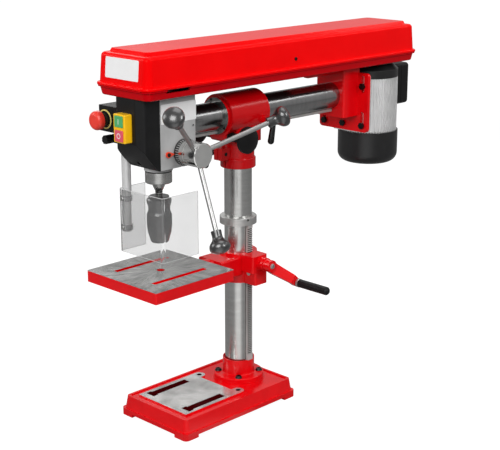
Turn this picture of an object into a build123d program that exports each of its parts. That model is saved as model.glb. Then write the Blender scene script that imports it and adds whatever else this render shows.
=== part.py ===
"""Bench radial drilling machine with a sliding, tilting ram, a rack-lifted table and a belt drive.

Frame: millimetres, +Z up, +X to the operator's right, +Y from the drill head back to the motor.
The origin is on the column's axis, on the bench.
"""
import os
from math import asin, atan2, cos, degrees, pi, radians, sin, tan

from build123d import *

os.makedirs("parts", exist_ok=True)

# Clearances
run = 0.05          # radial play of a shaft in its bore
gap = 0.3           # air between faces that pass each other
slide_gap = 0.5     # air beside the teeth and keys of the racks

# Base casting
base_width = 222.0
base_length = 370.0
base_back = 80.0            # rear rim, behind the column's axis
base_height = 50.0
base_corner = 9.0
skirt_out = 10.0
skirt_corner = 12.0
skirt_height = 18.0
rim_draft = 6.0
rim_wall = 6.0
rim_depth = 3.0
base_deck = 11.0
base_wall = 9.0
base_rib = 8.0
foot_length = 42.0
foot_height = 7.5
plate_rise = 5.0            # machined pads above the floor of the rim
plate_half = 87.0
plate_front = 22.0          # from the front rim to the pad
plate_setback = 84.0        # from the column's axis to the pad's rear edge
base_slot_x = 65.5
base_slot_width = 21.0
base_slot_front = 17.0      # pad left before a slot
base_slot_rear = 40.0       # pad left behind a slot
base_slot_head = 29.0
base_slot_head_length = 16.0
bench_bolt_x = 72.0
bench_bolt_y = -74.0
bench_hole_r = 6.5
bench_boss_r = 15.0

# Column, its flange and its rack
column_r = 35.0
column_wall = 5.0
column_length = 628.0
flange_r = 64.5
flange_height = 12.0
flange_bolt_spread = 75.0
flange_bolt_r = 6.0
flange_head_r = 9.0
flange_head_height = 6.0
flange_edge = 2.0
socket_r = 41.0
socket_fillet = 2.0
socket_height = 41.0        # flange face to the rim that carries the rack
socket_rim = 5.0            # depth of the recess inside the rim
rack_tongue = 2.3           # thickness of the rack's foot in that recess
rack_half_width = 8.0
rack_thickness = 8.2
rack_length = 377.4
rack_plain = 15.0           # toothless length at each end of the column rack
collar_r = 47.0
collar_height = 19.0
collar_hold = 10.0          # length of rack that the collar covers

# Teeth: rack module, addenda in modules, and thinning of each tooth
lift_module = 1.6
lift_teeth = 20
ram_module = 1.6
ram_teeth = 12
feed_module = 2.0
feed_teeth = 12
rack_addendum = 0.65
gear_addendum = 0.8
tooth_foot = 0.3            # clearance under each tooth tip
tooth_thinning = 0.45
pressure = 20.0

# Table bracket
bracket_bottom = 320.0
bracket_height = 76.0
bracket_wall = 13.0
arm_half = 41.0
arm_front = 100.0           # from the column's axis to the arm's front face
arm_height = 50.0
arm_drop = 6.0              # from the bracket's top to the arm's top
block_right = 82.0
block_half = 22.0
block_step = 8.0            # the block's upper half stands this much further forward
block_step_rise = 33.0
block_round = 5.0
lift_gear_rise = 29.0       # gear axis above the bracket's bottom
lift_gear_width = 14.0
lift_pin_r = 6.0
lift_pin_out = 1.0          # pin beyond the gear block, each side
worm_r = 8.4
worm_rise = 26.6            # worm axis above the gear's axis
worm_journal_r = 10.5
worm_shaft_r = 7.0
worm_length = 24.0
crank_boss = 18.0
crank_boss_r = 17.0
clamp_slit = 3.0
lock_screw_r = 5.0
lock_hub_r = 9.0
lock_handle_r = 6.2
lock_handle_flare = 2.0     # widening of a lever's handle, in degrees
table_lock_handle = 60.0
table_lock_standoff = 4.0

# Crank
crank_hub_r = 15.0
crank_hub_length = 20.0
crank_throw = 80.0
crank_angle = -39.0         # from straight back, downwards
crank_offset = 32.0         # dog-leg of the arm, outwards
crank_thick = 13.0
crank_width = 30.0
crank_eye_r = 10.5
grip_length = 104.0
grip_r = 10.5
grip_crown = 7.0
grip_pin_r = 5.0
grip_cap = 14.0             # solid end of the grip beyond its pin

# Table
table_size = 250.0
table_top = 400.0
table_thick = 12.0
table_edge = 28.0
table_wall = 10.0
table_rib = 8.0
spindle_y = -264.0
table_hole_r = 10.0
table_slot_x = 68.0
table_slot_width = 14.5
table_slot_length = 166.0
tilt_z = 365.0
tilt_hub_r = 27.0
tilt_stud_r = 12.0
tilt_hub_in = 32.0          # length of hub under the table
tilt_nut_r = 17.0
tilt_nut_length = 12.0

# Head support on the column
support_bottom = 613.0
neck_r = 41.0
neck_ring_r = 44.5
neck_ring_height = 26.0
saddle_half = 44.0
barrel_r = 53.0
barrel_front = 70.0
barrel_back = 60.0
nose_r = 45.0
nose_length = 8.0
saddle_bottom = 680.0
saddle_corner = 12.0
pinion_y = -55.0
pinion_boss_r = 15.0
pinion_boss_half = 28.0
ear_half = 14.0
ear_front = 70.0
ear_bottom = 638.0
ear_height = 30.0
ram_z = 750.0
ram_lock_y = 42.0
ram_lock_z = 731.0
ram_lock_boss = 7.0         # boss beyond the barrel's side
ram_lock_standoff = 13.0
ram_lock_handle = 57.0
column_lock_standoff = 18.0
column_lock_handle = 45.0

# Ram, its rack, its pinion and its knobs
ram_r = 35.0
ram_wall = 6.0
ram_socket = 35.0
ram_rack_thickness = 7.2
pinion_land_r = 11.15
pinion_face = 18.0
knob_r = 33.0
knob_stem_r = 11.0
knob_spigot_r = 7.0
knob_relief = 1.2           # air round a knob's stem, under the barrel
knob_stem = 49.7
knob_cone = 6.0
knob_rim = 14.0
knob_crown = 20.0

# Head casting, its cover and the controls
head_half = 50.0
head_front = -300.0
head_back = -187.0
head_bottom = 657.0
head_heel = 50.0            # flat bottom left in front of the sloping heel
head_heel_rise = 55.0
quill_boss_r = 34.0
feed_boss_r = 35.0
head_corner = 6.0
set_screw_r = 3.2
set_screw_in = 10.0
set_screw_depth = 8.0
cover_depth = 58.0
cover_wall = 3.0
cover_face_half = 31.0
cover_cheek = 13.0
cover_round = 8.0
cover_chin_rise = 66.0
cover_chin_back = 54.0
cover_hole_x = -6.0
cover_hole_rise = 13.0
cover_hole_r = 4.5
switch_width = 40.0
switch_depth = 21.0
switch_height = 66.0
switch_z = 760.0
button_width = 28.0
button_height = 26.0
button_proud = 2.5
button_travel = 4.0
guard_box_width = 65.0
guard_box_depth = 60.0
guard_box_height = 61.0
guard_box_bottom = 737.0
guard_box_front = -345.0
estop_x = -90.0
estop_z = 766.0
estop_r = 22.5
estop_cap = 17.0
estop_round = 10.0
estop_stem_r = 15.0
estop_stem = 19.0
estop_travel = 5.0

# Guard and its rod
rod_x = -63.5
rod_setback = 36.0          # from the guard box's front to the rod's axis
rod_r = 11.0
rod_bottom = 495.0
rod_sleeve = 34.0
guard_half = 78.0
guard_standoff = 3.5        # from the rod to the sheet's front face
guard_sheet = 3.0
guard_bottom = 445.0
guard_height = 155.0
guard_right_wing = 113.0
guard_left_wing = 82.0
guard_bend = 9.0
guard_clip_height = 12.0
guard_clip_wall = 3.0
guard_knob_x = -92.0
guard_knob_z = 717.0
guard_knob_r = 10.5

# Quill, spindle and chuck
quill_r = 26.0
quill_bore_r = 17.5
quill_bottom = 617.0
quill_length = 153.0
quill_nose_r = 32.0
quill_nose = 27.0
bumper_height = 3.0
quill_stroke = 60.0
bearing_width = 14.0
spindle_r = 12.5
spindle_nose_r = 14.5
spindle_neck_r = 9.0
spindle_nose = 20.0
spindle_spline_r = 9.0
spindle_top = 900.0
taper_r = 8.0
taper_length = 30.0
chuck_top = 584.0
chuck_height = 112.0
chuck_disc_r = 24.0
chuck_flare_r = 28.5
chuck_waist_r = 25.0
chuck_sleeve_r = 29.0
chuck_nose_r = 20.0
chuck_core_r = 20.8
chuck_core_nose_r = 15.4
chuck_hole_r = 8.2
jaw_r = 3.2
jaw_lean = 15.0
jaw_length = 21.0

# Feed
feed_z = 692.0
feed_land_r = 14.0
feed_journal_r = 9.0
feed_hub_r = 29.5
feed_hub_length = 56.7
hub_groove_at = 15.0
hub_groove_width = 2.5
hub_groove_depth = 1.5
depth_ring_r = 32.0
depth_ring_width = 10.0
feed_rod_r = 5.75
feed_rod_length = 194.0
feed_rod_lean = 26.5
feed_rod_x = 94.0            # where the rods' axes meet, on the hub's axis
feed_rod_angle = 143.0
feed_rod_sink = 13.0
feed_reach = 238.0          # hub axis to the end of a feed knob
feed_knob_r = 24.5
feed_knob_neck_r = 12.5
feed_knob_length = 55.0
feed_knob_end = 15.0        # depth of the knob's rounded end
pointer_r = 7.0
pointer_reach = 17.0        # tip of the pointer to the middle of its round end
pointer_thick = 4.0
spring_cap_r = 31.0
spring_cap_depth = 26.0
spring_turns = 4
spring_strip = 1.2
spring_width = 16.0

# Belt drive and its case
case_half = 84.0
case_front = -364.0
case_back = 598.0
case_bottom = 828.0
case_depth = 22.0
case_flare = 14.0           # outward lean of the tray's walls, in degrees
case_corner = 15.0
case_wall = 2.0
flange_out = 4.0
finger_y = -277.0            # notch under the lid for the fingers
finger_length = 71.0
finger_drop = 8.0
lid_lip_out = 3.0
lid_lip_height = 8.0
lid_height = 84.0
lid_draft = 4.5
lid_shoulder = 10.0
lid_panel_in = 12.0
lid_panel_corner = 16.0
lid_panel_rise = 8.0
hinge_r = 4.5
hinge_pin_r = 2.0
hinge_out = 7.0
hinge_length = 60.0
hinge_y = 300.0
motor_y = 513.0
pulley_bottom = 838.0
pulley_step = 14.0
pulley_small_r = 25.0
pulley_growth = 7.0
pulley_steps = 5
groove_depth = 8.0
groove_half = 5.4
groove_foot_half = 3.3
belt_half = 4.9
belt_foot_half = 3.2
belt_thick = 6.0
pulley_hub_r = 24.0

# Motor and its bracket
bracket_face = 348.0        # front of the ram socket
bracket_block_half = 50.0
bracket_block_bottom = 694.0
bracket_block_corner = 8.0
bracket_plate_y = 405.0
bracket_plate = 10.0
bracket_plate_half = 84.0
bracket_plate_bottom = 650.0
bracket_plate_height = 159.0
bracket_plate_corner = 10.0
bracket_slot_x = 66.0
bracket_slot_r = 5.0
bracket_slot_length = 46.0
bracket_slot_low = 682.0
bracket_slot_high = 780.0
bracket_flange_half = 38.0
bracket_flange_front = 222.0
bracket_flange = 11.0
bracket_web_half = 7.0
bracket_web_foot = 682.0     # where the lower web meets the plate
bracket_web_in = 20.0        # from the flange's front to the web
bracket_web_slope = 10.0
bracket_web_clear = 3.0      # air between the web and the support's barrel
bracket_bolt_r = 4.9
bracket_head_r = 9.0
bracket_head = 7.0
bracket_bolt_low = 668.0
bracket_bolt_high = 774.0
motor_r = 74.0
motor_fin = 5.0
motor_fins = 64
motor_bottom = 638.0
motor_height = 148.0
bell_height = 36.0
fan_cover_r = 83.0
fan_cover_height = 90.0
fan_cover_wall = 3.0
stator_r = 66.0
end_shield = 10.0
stator_height = 100.0
rotor_r = 41.0
motor_shaft_r = 9.0
motor_foot = 6.0
motor_foot_half = 80.0
motor_foot_height = 150.0
box_half = 40.0
box_back = 645.0
box_bottom = 699.0
box_height = 114.0
box_corner = 12.0
box_edge = 9.0
box_seam_y = 607.0
box_seam = 1.2

UPWARDS = (Align.CENTER, Align.CENTER, Align.MIN)


def at_x(x):
    """A plane that faces right; its sketches read Y across and Z up."""
    return Plane.YZ.offset(x)


def at_y(y):
    """A plane that faces the operator; its sketches read X across and Z up."""
    return Plane.XZ.offset(-y)


def at_z(z):
    """A plane that faces up."""
    return Plane.XY.offset(z)


def keep(piece, name):
    """Label a finished piece and write it under its own name."""
    piece.part.label = name
    export_step(piece.part, f"parts/{name}.step")


def dome(base, rim_r, crown):
    """A spherical cap's half outline as an arc, from its rim at base to its crown on the axis."""
    rise = crown - base
    sphere_r = (rise**2 + rim_r**2) / (2 * rise)
    half = asin(rim_r / sphere_r) / 2
    middle = (crown - sphere_r + sphere_r * cos(half), sphere_r * sin(half))
    ThreePointArc((base, rim_r), middle, (crown, 0))


def rack_line(module, first, last, pitch_at, tip_side, back):
    """Closed outline of a toothed bar: (along, across) points, a tooth centred on 0.

    Teeth point to tip_side (+1 or -1) across the bar. The bar runs from first to last.
    """
    pitch = pi * module
    lean = tan(radians(pressure))
    tip = rack_addendum * module
    root = gear_addendum * module + tooth_foot
    half = pitch / 4 - tooth_thinning / 4
    points = []
    count = int((-first - rack_plain) / pitch)
    ahead = int((last - rack_plain) / pitch)
    for number in range(-count, ahead + 1):
        mid = number * pitch
        points += [
            (mid - half - root * lean, pitch_at - tip_side * root),
            (mid - half + tip * lean, pitch_at + tip_side * tip),
            (mid + half - tip * lean, pitch_at + tip_side * tip),
            (mid + half + root * lean, pitch_at - tip_side * root),
        ]
    start, end = points[0][0], points[-1][0]
    top = pitch_at + tip_side * tip
    return [(first, back), (first, top), (start, top)] + points + [(end, top), (last, top), (last, back)]


def gear_line(module, teeth, space_at):
    """Points of a spur gear's outline, with a tooth space centred on the angle space_at in degrees."""
    pitch_r = module * teeth / 2
    base_r = pitch_r * cos(radians(pressure))
    tip_r = pitch_r + gear_addendum * module
    root_r = pitch_r - rack_addendum * module - tooth_foot
    roll = tan(radians(pressure)) - radians(pressure)
    half = pi / (2 * teeth) - tooth_thinning / (2 * pitch_r)

    def flank(radius):
        """Half the tooth's angle at a radius, on an involute of the base circle."""
        if radius <= base_r:
            return half + roll
        turn = (radius**2 / base_r**2 - 1) ** 0.5
        return half + roll - (turn - atan2(turn, 1))

    radii = [root_r, max(root_r, base_r), pitch_r, tip_r]
    points = []
    for number in range(teeth):
        mid = radians(space_at) + (2 * number + 1) * pi / teeth
        for radius in radii:
            points.append((radius * cos(mid - flank(radius)), radius * sin(mid - flank(radius))))
        for radius in reversed(radii):
            points.append((radius * cos(mid + flank(radius)), radius * sin(mid + flank(radius))))
    distinct = [points[0]]
    for point in points[1:]:
        if abs(point[0] - distinct[-1][0]) + abs(point[1] - distinct[-1][1]) > 1e-6:
            distinct.append(point)
    return distinct


# Base: a hollow casting with a rim, machined pads, slots, ribs and four feet

base_mid = base_back - base_length / 2
base_floor = base_height - rim_depth
plate_top = base_floor + plate_rise
bench_bolts = [(-bench_bolt_x, bench_bolt_y), (bench_bolt_x, bench_bolt_y)]
plate_length = base_length - base_back - plate_front - plate_setback
plate_y = -plate_setback - plate_length / 2
base_slot_length = plate_length - base_slot_front - base_slot_rear
base_slot_y = plate_y + (base_slot_front - base_slot_rear) / 2
bay_width = (base_width - 2 * base_wall - 2 * base_rib) / 3
bay_length = (base_length - 2 * base_wall - 3 * base_rib) / 4
skirt_width = base_width + 2 * skirt_out
skirt_length = base_length + 2 * skirt_out
boss_r = flange_r + 1.5

with BuildPart() as base:
    with BuildSketch():
        with Locations((0, base_mid)):
            RectangleRounded(skirt_width, skirt_length, skirt_corner)
    extrude(amount=skirt_height)
    with BuildSketch(at_z(skirt_height)):
        with Locations((0, base_mid)):
            RectangleRounded(base_width + 2 * rim_draft, base_length + 2 * rim_draft, base_corner + rim_draft)
    extrude(
        amount=base_height - skirt_height,
        taper=degrees(atan2(rim_draft, base_height - skirt_height)),
    )
    with BuildSketch(at_z(base_height)):
        with Locations((0, base_mid)):
            RectangleRounded(base_width - 2 * rim_wall, base_length - 2 * rim_wall, base_corner - rim_wall)
    extrude(amount=-rim_depth, mode=Mode.SUBTRACT)
    with BuildSketch(at_z(base_floor)):
        with Locations((0, plate_y)):
            Rectangle(2 * plate_half, plate_length)
        with Locations(*bench_bolts):
            Circle(bench_boss_r)
        with Locations(*[(x, (y + plate_y) / 2) for x, y in bench_bolts]):
            Rectangle(2 * bench_boss_r, bench_bolt_y - plate_y)
        Circle(boss_r)
    extrude(amount=plate_rise)
    with BuildSketch():
        with Locations((0, base_mid)):
            with GridLocations(bay_width + base_rib, bay_length + base_rib, 3, 4):
                Rectangle(bay_width, bay_length)
        Circle(boss_r, mode=Mode.SUBTRACT)
        with Locations(*bench_bolts):
            Circle(bench_boss_r, mode=Mode.SUBTRACT)
    extrude(amount=base_floor - base_deck, mode=Mode.SUBTRACT)
    with BuildSketch():
        with Locations((0, base_mid)):
            Rectangle(skirt_width + 2, skirt_length + 2)
            with GridLocations(skirt_width - foot_length, skirt_length - foot_length, 2, 2):
                Rectangle(foot_length, foot_length, mode=Mode.SUBTRACT)
        Circle(boss_r, mode=Mode.SUBTRACT)
        with Locations(*bench_bolts):
            Circle(bench_boss_r, mode=Mode.SUBTRACT)
    extrude(amount=foot_height, mode=Mode.SUBTRACT)
    with BuildSketch(at_z(plate_top)):
        with Locations((-base_slot_x, base_slot_y), (base_slot_x, base_slot_y)):
            Rectangle(base_slot_width, base_slot_length)
        head_y = base_slot_y - base_slot_length / 2 + base_slot_head_length / 2
        with Locations((-base_slot_x, head_y), (base_slot_x, head_y)):
            Rectangle(base_slot_head, base_slot_head_length)
    extrude(amount=-(base_deck + plate_rise + 1), mode=Mode.SUBTRACT)
    with BuildSketch(at_z(plate_top)):
        with Locations(*bench_bolts):
            Circle(bench_hole_r)
        with GridLocations(flange_bolt_spread, flange_bolt_spread, 2, 2):
            Circle(flange_bolt_r)
        Circle(column_r - 2 * column_wall)
    extrude(amount=-plate_top, mode=Mode.SUBTRACT)
keep(base, "base")

# Column flange: a bolted socket whose rim carries the foot of the rack

flange_top = plate_top + flange_height
socket_top = flange_top + socket_height
socket_floor = socket_top - socket_rim
rack_in = column_r + gap
rack_out = rack_in + rack_thickness
recess_r = ((rack_in + rack_tongue) ** 2 + rack_half_width**2) ** 0.5 + gap
collar_in = (rack_out**2 + rack_half_width**2) ** 0.5 + gap

with BuildPart() as column_flange:
    with BuildSketch(Plane.XZ):
        with BuildLine():
            Polyline(
                (column_r, plate_top),
                (flange_r, plate_top),
                (flange_r, flange_top - flange_edge),
                (flange_r - flange_edge, flange_top),
                (socket_r + socket_fillet, flange_top),
                (socket_r, flange_top + socket_fillet),
                (socket_r, socket_top),
                (recess_r, socket_top),
                (recess_r, socket_floor),
                (column_r, socket_floor),
                close=True,
            )
        make_face()
    revolve(axis=Axis.Z)
    with BuildSketch(at_z(plate_top)):
        with GridLocations(flange_bolt_spread, flange_bolt_spread, 2, 2):
            Circle(flange_bolt_r)
    extrude(amount=flange_height, mode=Mode.SUBTRACT)
keep(column_flange, "column_flange")

with BuildPart() as flange_bolts:
    with BuildSketch(at_z(base_deck)):
        with GridLocations(flange_bolt_spread, flange_bolt_spread, 2, 2):
            Circle(flange_bolt_r)
    extrude(amount=flange_top - base_deck)
    with BuildSketch(at_z(flange_top)):
        with GridLocations(flange_bolt_spread, flange_bolt_spread, 2, 2):
            Circle(flange_head_r)
    extrude(amount=flange_head_height, taper=25)
    with BuildSketch(at_z(flange_top + flange_head_height)):
        with GridLocations(flange_bolt_spread, flange_bolt_spread, 2, 2):
            RegularPolygon(flange_head_r * 0.42, 6)
    extrude(amount=-flange_head_height / 2, mode=Mode.SUBTRACT)
keep(flange_bolts, "flange_bolts")

with BuildPart() as column:
    with BuildSketch(at_z(plate_top)):
        Circle(column_r)
        Circle(column_r - column_wall, mode=Mode.SUBTRACT)
    extrude(amount=column_length)
keep(column, "column")

# Column rack: turns about the column between the flange's rim and the collar

rack_foot = socket_floor + gap
rack_start = socket_top + gap
rack_head = rack_foot + rack_length
gear_z = bracket_bottom + lift_gear_rise
lift_pitch_r = lift_module * lift_teeth / 2
rack_pitch_x = rack_out - rack_addendum * lift_module
gear_x = rack_pitch_x + lift_pitch_r

with BuildPart() as column_rack:
    with BuildSketch(at_y(rack_half_width)):
        outline = rack_line(lift_module, rack_start - gear_z, rack_head - gear_z, rack_pitch_x, 1, rack_in)
        with BuildLine():
            Polyline(*[(across, gear_z + along) for along, across in outline], close=True)
        make_face()
    extrude(amount=2 * rack_half_width)
    with BuildSketch(at_z(rack_foot)):
        with Locations((rack_in + rack_tongue / 2, 0)):
            Rectangle(rack_tongue, 2 * rack_half_width)
    extrude(amount=rack_start - rack_foot)
keep(column_rack, "column_rack")

collar_bottom = rack_head + gap - collar_hold

with BuildPart() as rack_collar:
    with BuildSketch(at_z(collar_bottom)):
        Circle(max(collar_r, collar_in + 2))
        Circle(column_r, mode=Mode.SUBTRACT)
    extrude(amount=collar_height)
    with BuildSketch(at_z(collar_bottom)):
        Circle(collar_in)
        Circle(column_r, mode=Mode.SUBTRACT)
    extrude(amount=collar_hold, mode=Mode.SUBTRACT)
    chamfer(rack_collar.edges().group_by(Axis.Z)[-1].sort_by(SortBy.LENGTH)[-1], 1.5)
    with BuildSketch(at_x(column_r).rotated((0, 0, -45))):
        with Locations((0, collar_bottom + (collar_height + collar_hold) / 2)):
            Circle(3)
    extrude(amount=2 * column_r, mode=Mode.SUBTRACT)
keep(rack_collar, "rack_collar")

# Table bracket: clamp collar, gear block, forward arm with the tilt stud

bracket_top = bracket_bottom + bracket_height
bracket_r = column_r + bracket_wall
arm_top = bracket_top - arm_drop
worm_z = gear_z + worm_rise
boss_end = block_right + crank_boss
ear_out = bracket_r + 26
lift_tip_r = lift_pitch_r + gear_addendum * lift_module
table_back = spindle_y + table_size / 2
stud_front = table_back - table_wall - tilt_hub_in
table_lock_x = -(bracket_r + 12)
table_lock_z = bracket_bottom + bracket_height / 2

with BuildPart() as table_bracket:
    with BuildSketch(at_z(bracket_bottom)):
        Circle(bracket_r)
    extrude(amount=bracket_height)
    with BuildSketch(at_z(bracket_bottom)):
        with Locations((column_r, 0)):
            Rectangle(2 * (block_right - column_r), 2 * block_half)
        with Locations((-ear_out / 2, 0)):
            Rectangle(ear_out, 2 * ear_half)
    extrude(amount=bracket_height)
    with BuildSketch(at_z(bracket_bottom + block_step_rise)):
        with Locations(((column_r + block_right) / 2, -block_step / 2)):
            Rectangle(block_right - column_r, 2 * block_half + block_step)
    extrude(amount=bracket_height - block_step_rise)
    fillet(table_bracket.edges().filter_by(Axis.Z).group_by(Axis.X)[-1], block_round)
    with BuildSketch(at_y(0)):
        with Locations((0, arm_top - arm_height / 2)):
            RectangleRounded(2 * arm_half, arm_height, 6)
    extrude(amount=arm_front)
    with BuildSketch(at_x(block_right)):
        with Locations((0, worm_z)):
            Circle(crank_boss_r)
    extrude(amount=crank_boss)
    with BuildSketch(at_y(-arm_front)):
        with Locations((0, tilt_z)):
            Circle(tilt_stud_r)
    extrude(amount=-stud_front - arm_front + tilt_nut_length + 4)
    with BuildSketch(at_y(stud_front - gap)):
        with Locations((0, tilt_z)):
            RegularPolygon(tilt_nut_r, 6)
    extrude(amount=tilt_nut_length)
    with BuildSketch(at_z(bracket_bottom)):
        Circle(column_r + run)
        with Locations((rack_out / 2 + slide_gap / 2, 0)):
            Rectangle(rack_out + slide_gap, 2 * (rack_half_width + slide_gap))
        with Locations((-ear_out / 2, 0)):
            Rectangle(ear_out, clamp_slit)
    extrude(amount=bracket_height, mode=Mode.SUBTRACT)
    with BuildSketch(at_y(lift_gear_width / 2 + gap)):
        with Locations((gear_x, gear_z)):
            Circle(lift_tip_r + 2 * gap)
    extrude(amount=lift_gear_width + 2 * gap, mode=Mode.SUBTRACT)
    with BuildSketch(at_y(block_half)):
        with Locations((gear_x, gear_z)):
            Circle(lift_pin_r + run)
    extrude(amount=2 * block_half + lift_pin_out + gap, mode=Mode.SUBTRACT)
    with BuildSketch(at_x(boss_end)):
        with Locations((0, worm_z)):
            Circle(worm_journal_r)
    extrude(amount=-(boss_end - gear_x + worm_length / 2 + gap), mode=Mode.SUBTRACT)
    with BuildSketch(at_y(ear_half)):
        with Locations((table_lock_x, table_lock_z)):
            Circle(lock_screw_r + run)
    extrude(amount=2 * ear_half, mode=Mode.SUBTRACT)
keep(table_bracket, "table_bracket")

with BuildPart() as lift_gear:
    with BuildSketch(at_y(lift_gear_width / 2)):
        with BuildLine():
            Polyline(
                *[(gear_x + u, gear_z + v) for u, v in gear_line(lift_module, lift_teeth, 180)],
                close=True,
            )
        make_face()
    extrude(amount=lift_gear_width)
    with BuildSketch(at_y(block_half + lift_pin_out)):
        with Locations((gear_x, gear_z)):
            Circle(lift_pin_r)
    extrude(amount=2 * (block_half + lift_pin_out))
keep(lift_gear, "lift_gear")

crank_hub_x = boss_end + gap
with BuildPart() as worm_shaft:
    with BuildSketch(at_x(gear_x - worm_length / 2)):
        with Locations((0, worm_z)):
            Circle(worm_r)
    extrude(amount=worm_length)
    with BuildSketch(at_x(gear_x + worm_length / 2)):
        with Locations((0, worm_z)):
            Circle(worm_journal_r - run)
    extrude(amount=boss_end - gear_x - worm_length / 2)
    with BuildSketch(at_x(boss_end)):
        with Locations((0, worm_z)):
            Circle(worm_shaft_r)
    extrude(amount=gap + crank_hub_length)
keep(worm_shaft, "worm_shaft")

# Crank: a dog-legged arm with a plain pin that the grip turns on

grip_y = crank_throw * cos(radians(crank_angle))
grip_z = worm_z + crank_throw * sin(radians(crank_angle))
arm_mid_x = crank_hub_x + crank_hub_length / 2
grip_x = arm_mid_x + crank_offset + crank_thick / 2
crank_plane = Plane(
    origin=(0, 0, worm_z),
    x_dir=(0, cos(radians(crank_angle)), sin(radians(crank_angle))),
    z_dir=(0, sin(radians(crank_angle)), -cos(radians(crank_angle))),
)

with BuildPart() as crank_arm:
    with BuildSketch(crank_plane):
        with BuildLine():
            Polyline(
                (-crank_hub_r, arm_mid_x - crank_thick / 2),
                (0.26 * crank_throw, arm_mid_x - crank_thick / 2),
                (0.8 * crank_throw, arm_mid_x + crank_offset - crank_thick / 2),
                (crank_throw + crank_eye_r, arm_mid_x + crank_offset - crank_thick / 2),
                (crank_throw + crank_eye_r, arm_mid_x + crank_offset + crank_thick / 2),
                (0.74 * crank_throw, arm_mid_x + crank_offset + crank_thick / 2),
                (0.2 * crank_throw, arm_mid_x + crank_thick / 2),
                (-crank_hub_r, arm_mid_x + crank_thick / 2),
                close=True,
            )
        make_face()
    extrude(amount=crank_width / 2, both=True)
    with BuildSketch(at_x(crank_hub_x)):
        with Locations((0, worm_z)):
            Circle(crank_width / 2)
        with Locations((grip_y, grip_z)):
            Circle(crank_eye_r)
        make_hull()
    extrude(amount=grip_x - crank_hub_x, mode=Mode.INTERSECT)
    with BuildSketch(at_x(crank_hub_x)):
        with Locations((0, worm_z)):
            Circle(crank_hub_r)
    extrude(amount=crank_hub_length)
    with BuildSketch(at_x(grip_x)):
        with Locations((grip_y, grip_z)):
            Circle(grip_pin_r)
    extrude(amount=grip_length - grip_cap)
    with BuildSketch(at_x(crank_hub_x)):
        with Locations((0, worm_z)):
            Circle(worm_shaft_r)
    extrude(amount=crank_hub_length, mode=Mode.SUBTRACT)
keep(crank_arm, "crank_arm")

with BuildPart() as crank_grip:
    with BuildSketch(Plane.XY.offset(grip_z).shift_origin((0, grip_y, grip_z))):
        with BuildLine():
            grip_end = grip_x + grip_length
            Polyline(
                (grip_end, 0),
                (grip_x + gap, 0),
                (grip_x + gap, grip_r - 2),
                (grip_x + gap + 2, grip_r),
                (grip_end - grip_crown, grip_r),
            )
            dome(grip_end - grip_crown, grip_r, grip_end)
        make_face()
    revolve(axis=Axis((0, grip_y, grip_z), (1, 0, 0)))
    with BuildSketch(at_x(grip_x)):
        with Locations((grip_y, grip_z)):
            Circle(grip_pin_r + run)
    extrude(amount=grip_length - grip_cap + gap, mode=Mode.SUBTRACT)
keep(crank_grip, "crank_grip")

# Table: ribbed plate with two slots and a hub that turns on the bracket's stud

table_bay = (table_size - 2 * table_wall - 2 * table_rib) / 3
table_under = table_top - table_edge

with BuildPart() as table:
    with BuildSketch(at_z(table_under)):
        with Locations((0, spindle_y)):
            RectangleRounded(table_size, table_size, 4)
    extrude(amount=table_edge)
    with BuildSketch(at_z(table_under)):
        with Locations((0, spindle_y)):
            with GridLocations(table_bay + table_rib, table_bay + table_rib, 3, 3):
                Rectangle(table_bay, table_bay)
    extrude(amount=table_edge - table_thick, mode=Mode.SUBTRACT)
    with BuildSketch(at_y(-arm_front - gap)):
        with Locations((0, tilt_z)):
            Circle(tilt_hub_r)
        with Locations((0, (tilt_z + table_top - table_thick) / 2)):
            Rectangle(1.4 * tilt_hub_r, table_top - table_thick - tilt_z)
    extrude(amount=-stud_front - arm_front - gap)
    with BuildSketch(at_z(table_under)):
        with Locations((0, spindle_y)):
            Circle(table_hole_r + table_wall)
    extrude(amount=table_edge)
    with BuildSketch(at_y(-arm_front)):
        with Locations((0, tilt_z)):
            Circle(tilt_stud_r + run)
    extrude(amount=-stud_front - arm_front, mode=Mode.SUBTRACT)
    with BuildSketch(at_y(stud_front)):
        with Locations((0, tilt_z)):
            Circle(tilt_nut_r + 4)
    extrude(amount=tilt_nut_length + 8, mode=Mode.SUBTRACT)
    with BuildSketch(at_z(table_top)):
        with Locations((-table_slot_x, spindle_y), (table_slot_x, spindle_y)):
            Rectangle(table_slot_width, table_slot_length)
        with Locations((0, spindle_y)):
            Circle(table_hole_r)
    extrude(amount=-table_edge, mode=Mode.SUBTRACT)
keep(table, "table")


def clamp_lever(seat, screw, standoff, handle):
    """A clamp lever: a screw behind the seat plane, a hub stood off it, a handle along the seat's x."""
    hub_length = 2 * lock_hub_r
    with BuildSketch(seat.offset(-screw)) as shank:
        Circle(lock_screw_r)
    extrude(shank.sketch, amount=screw + standoff)
    with BuildSketch(seat.offset(standoff)) as hub:
        Circle(lock_hub_r)
    extrude(hub.sketch, amount=hub_length, taper=4)
    grip = seat.offset(standoff + hub_length / 2)
    end_r = lock_handle_r + handle * tan(radians(lock_handle_flare))
    with BuildSketch(grip) as bar:
        with BuildLine():
            Polyline((handle, 0), (0, 0), (0, lock_handle_r), (handle - end_r, end_r))
            dome(handle - end_r, end_r, handle)
        make_face()
    revolve(bar.sketch, axis=Axis(grip.origin, grip.x_dir))


table_lock_seat = Plane(
    origin=(table_lock_x, -ear_half - gap, table_lock_z),
    x_dir=(-0.8, 0, -0.6),
    z_dir=(0, -1, 0),
)
with BuildPart() as table_lock_lever:
    clamp_lever(table_lock_seat, 2 * ear_half + gap, table_lock_standoff, table_lock_handle)
keep(table_lock_lever, "table_lock_lever")

# Head support: a split neck on the column that carries the ram's barrel and the pinion

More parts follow.
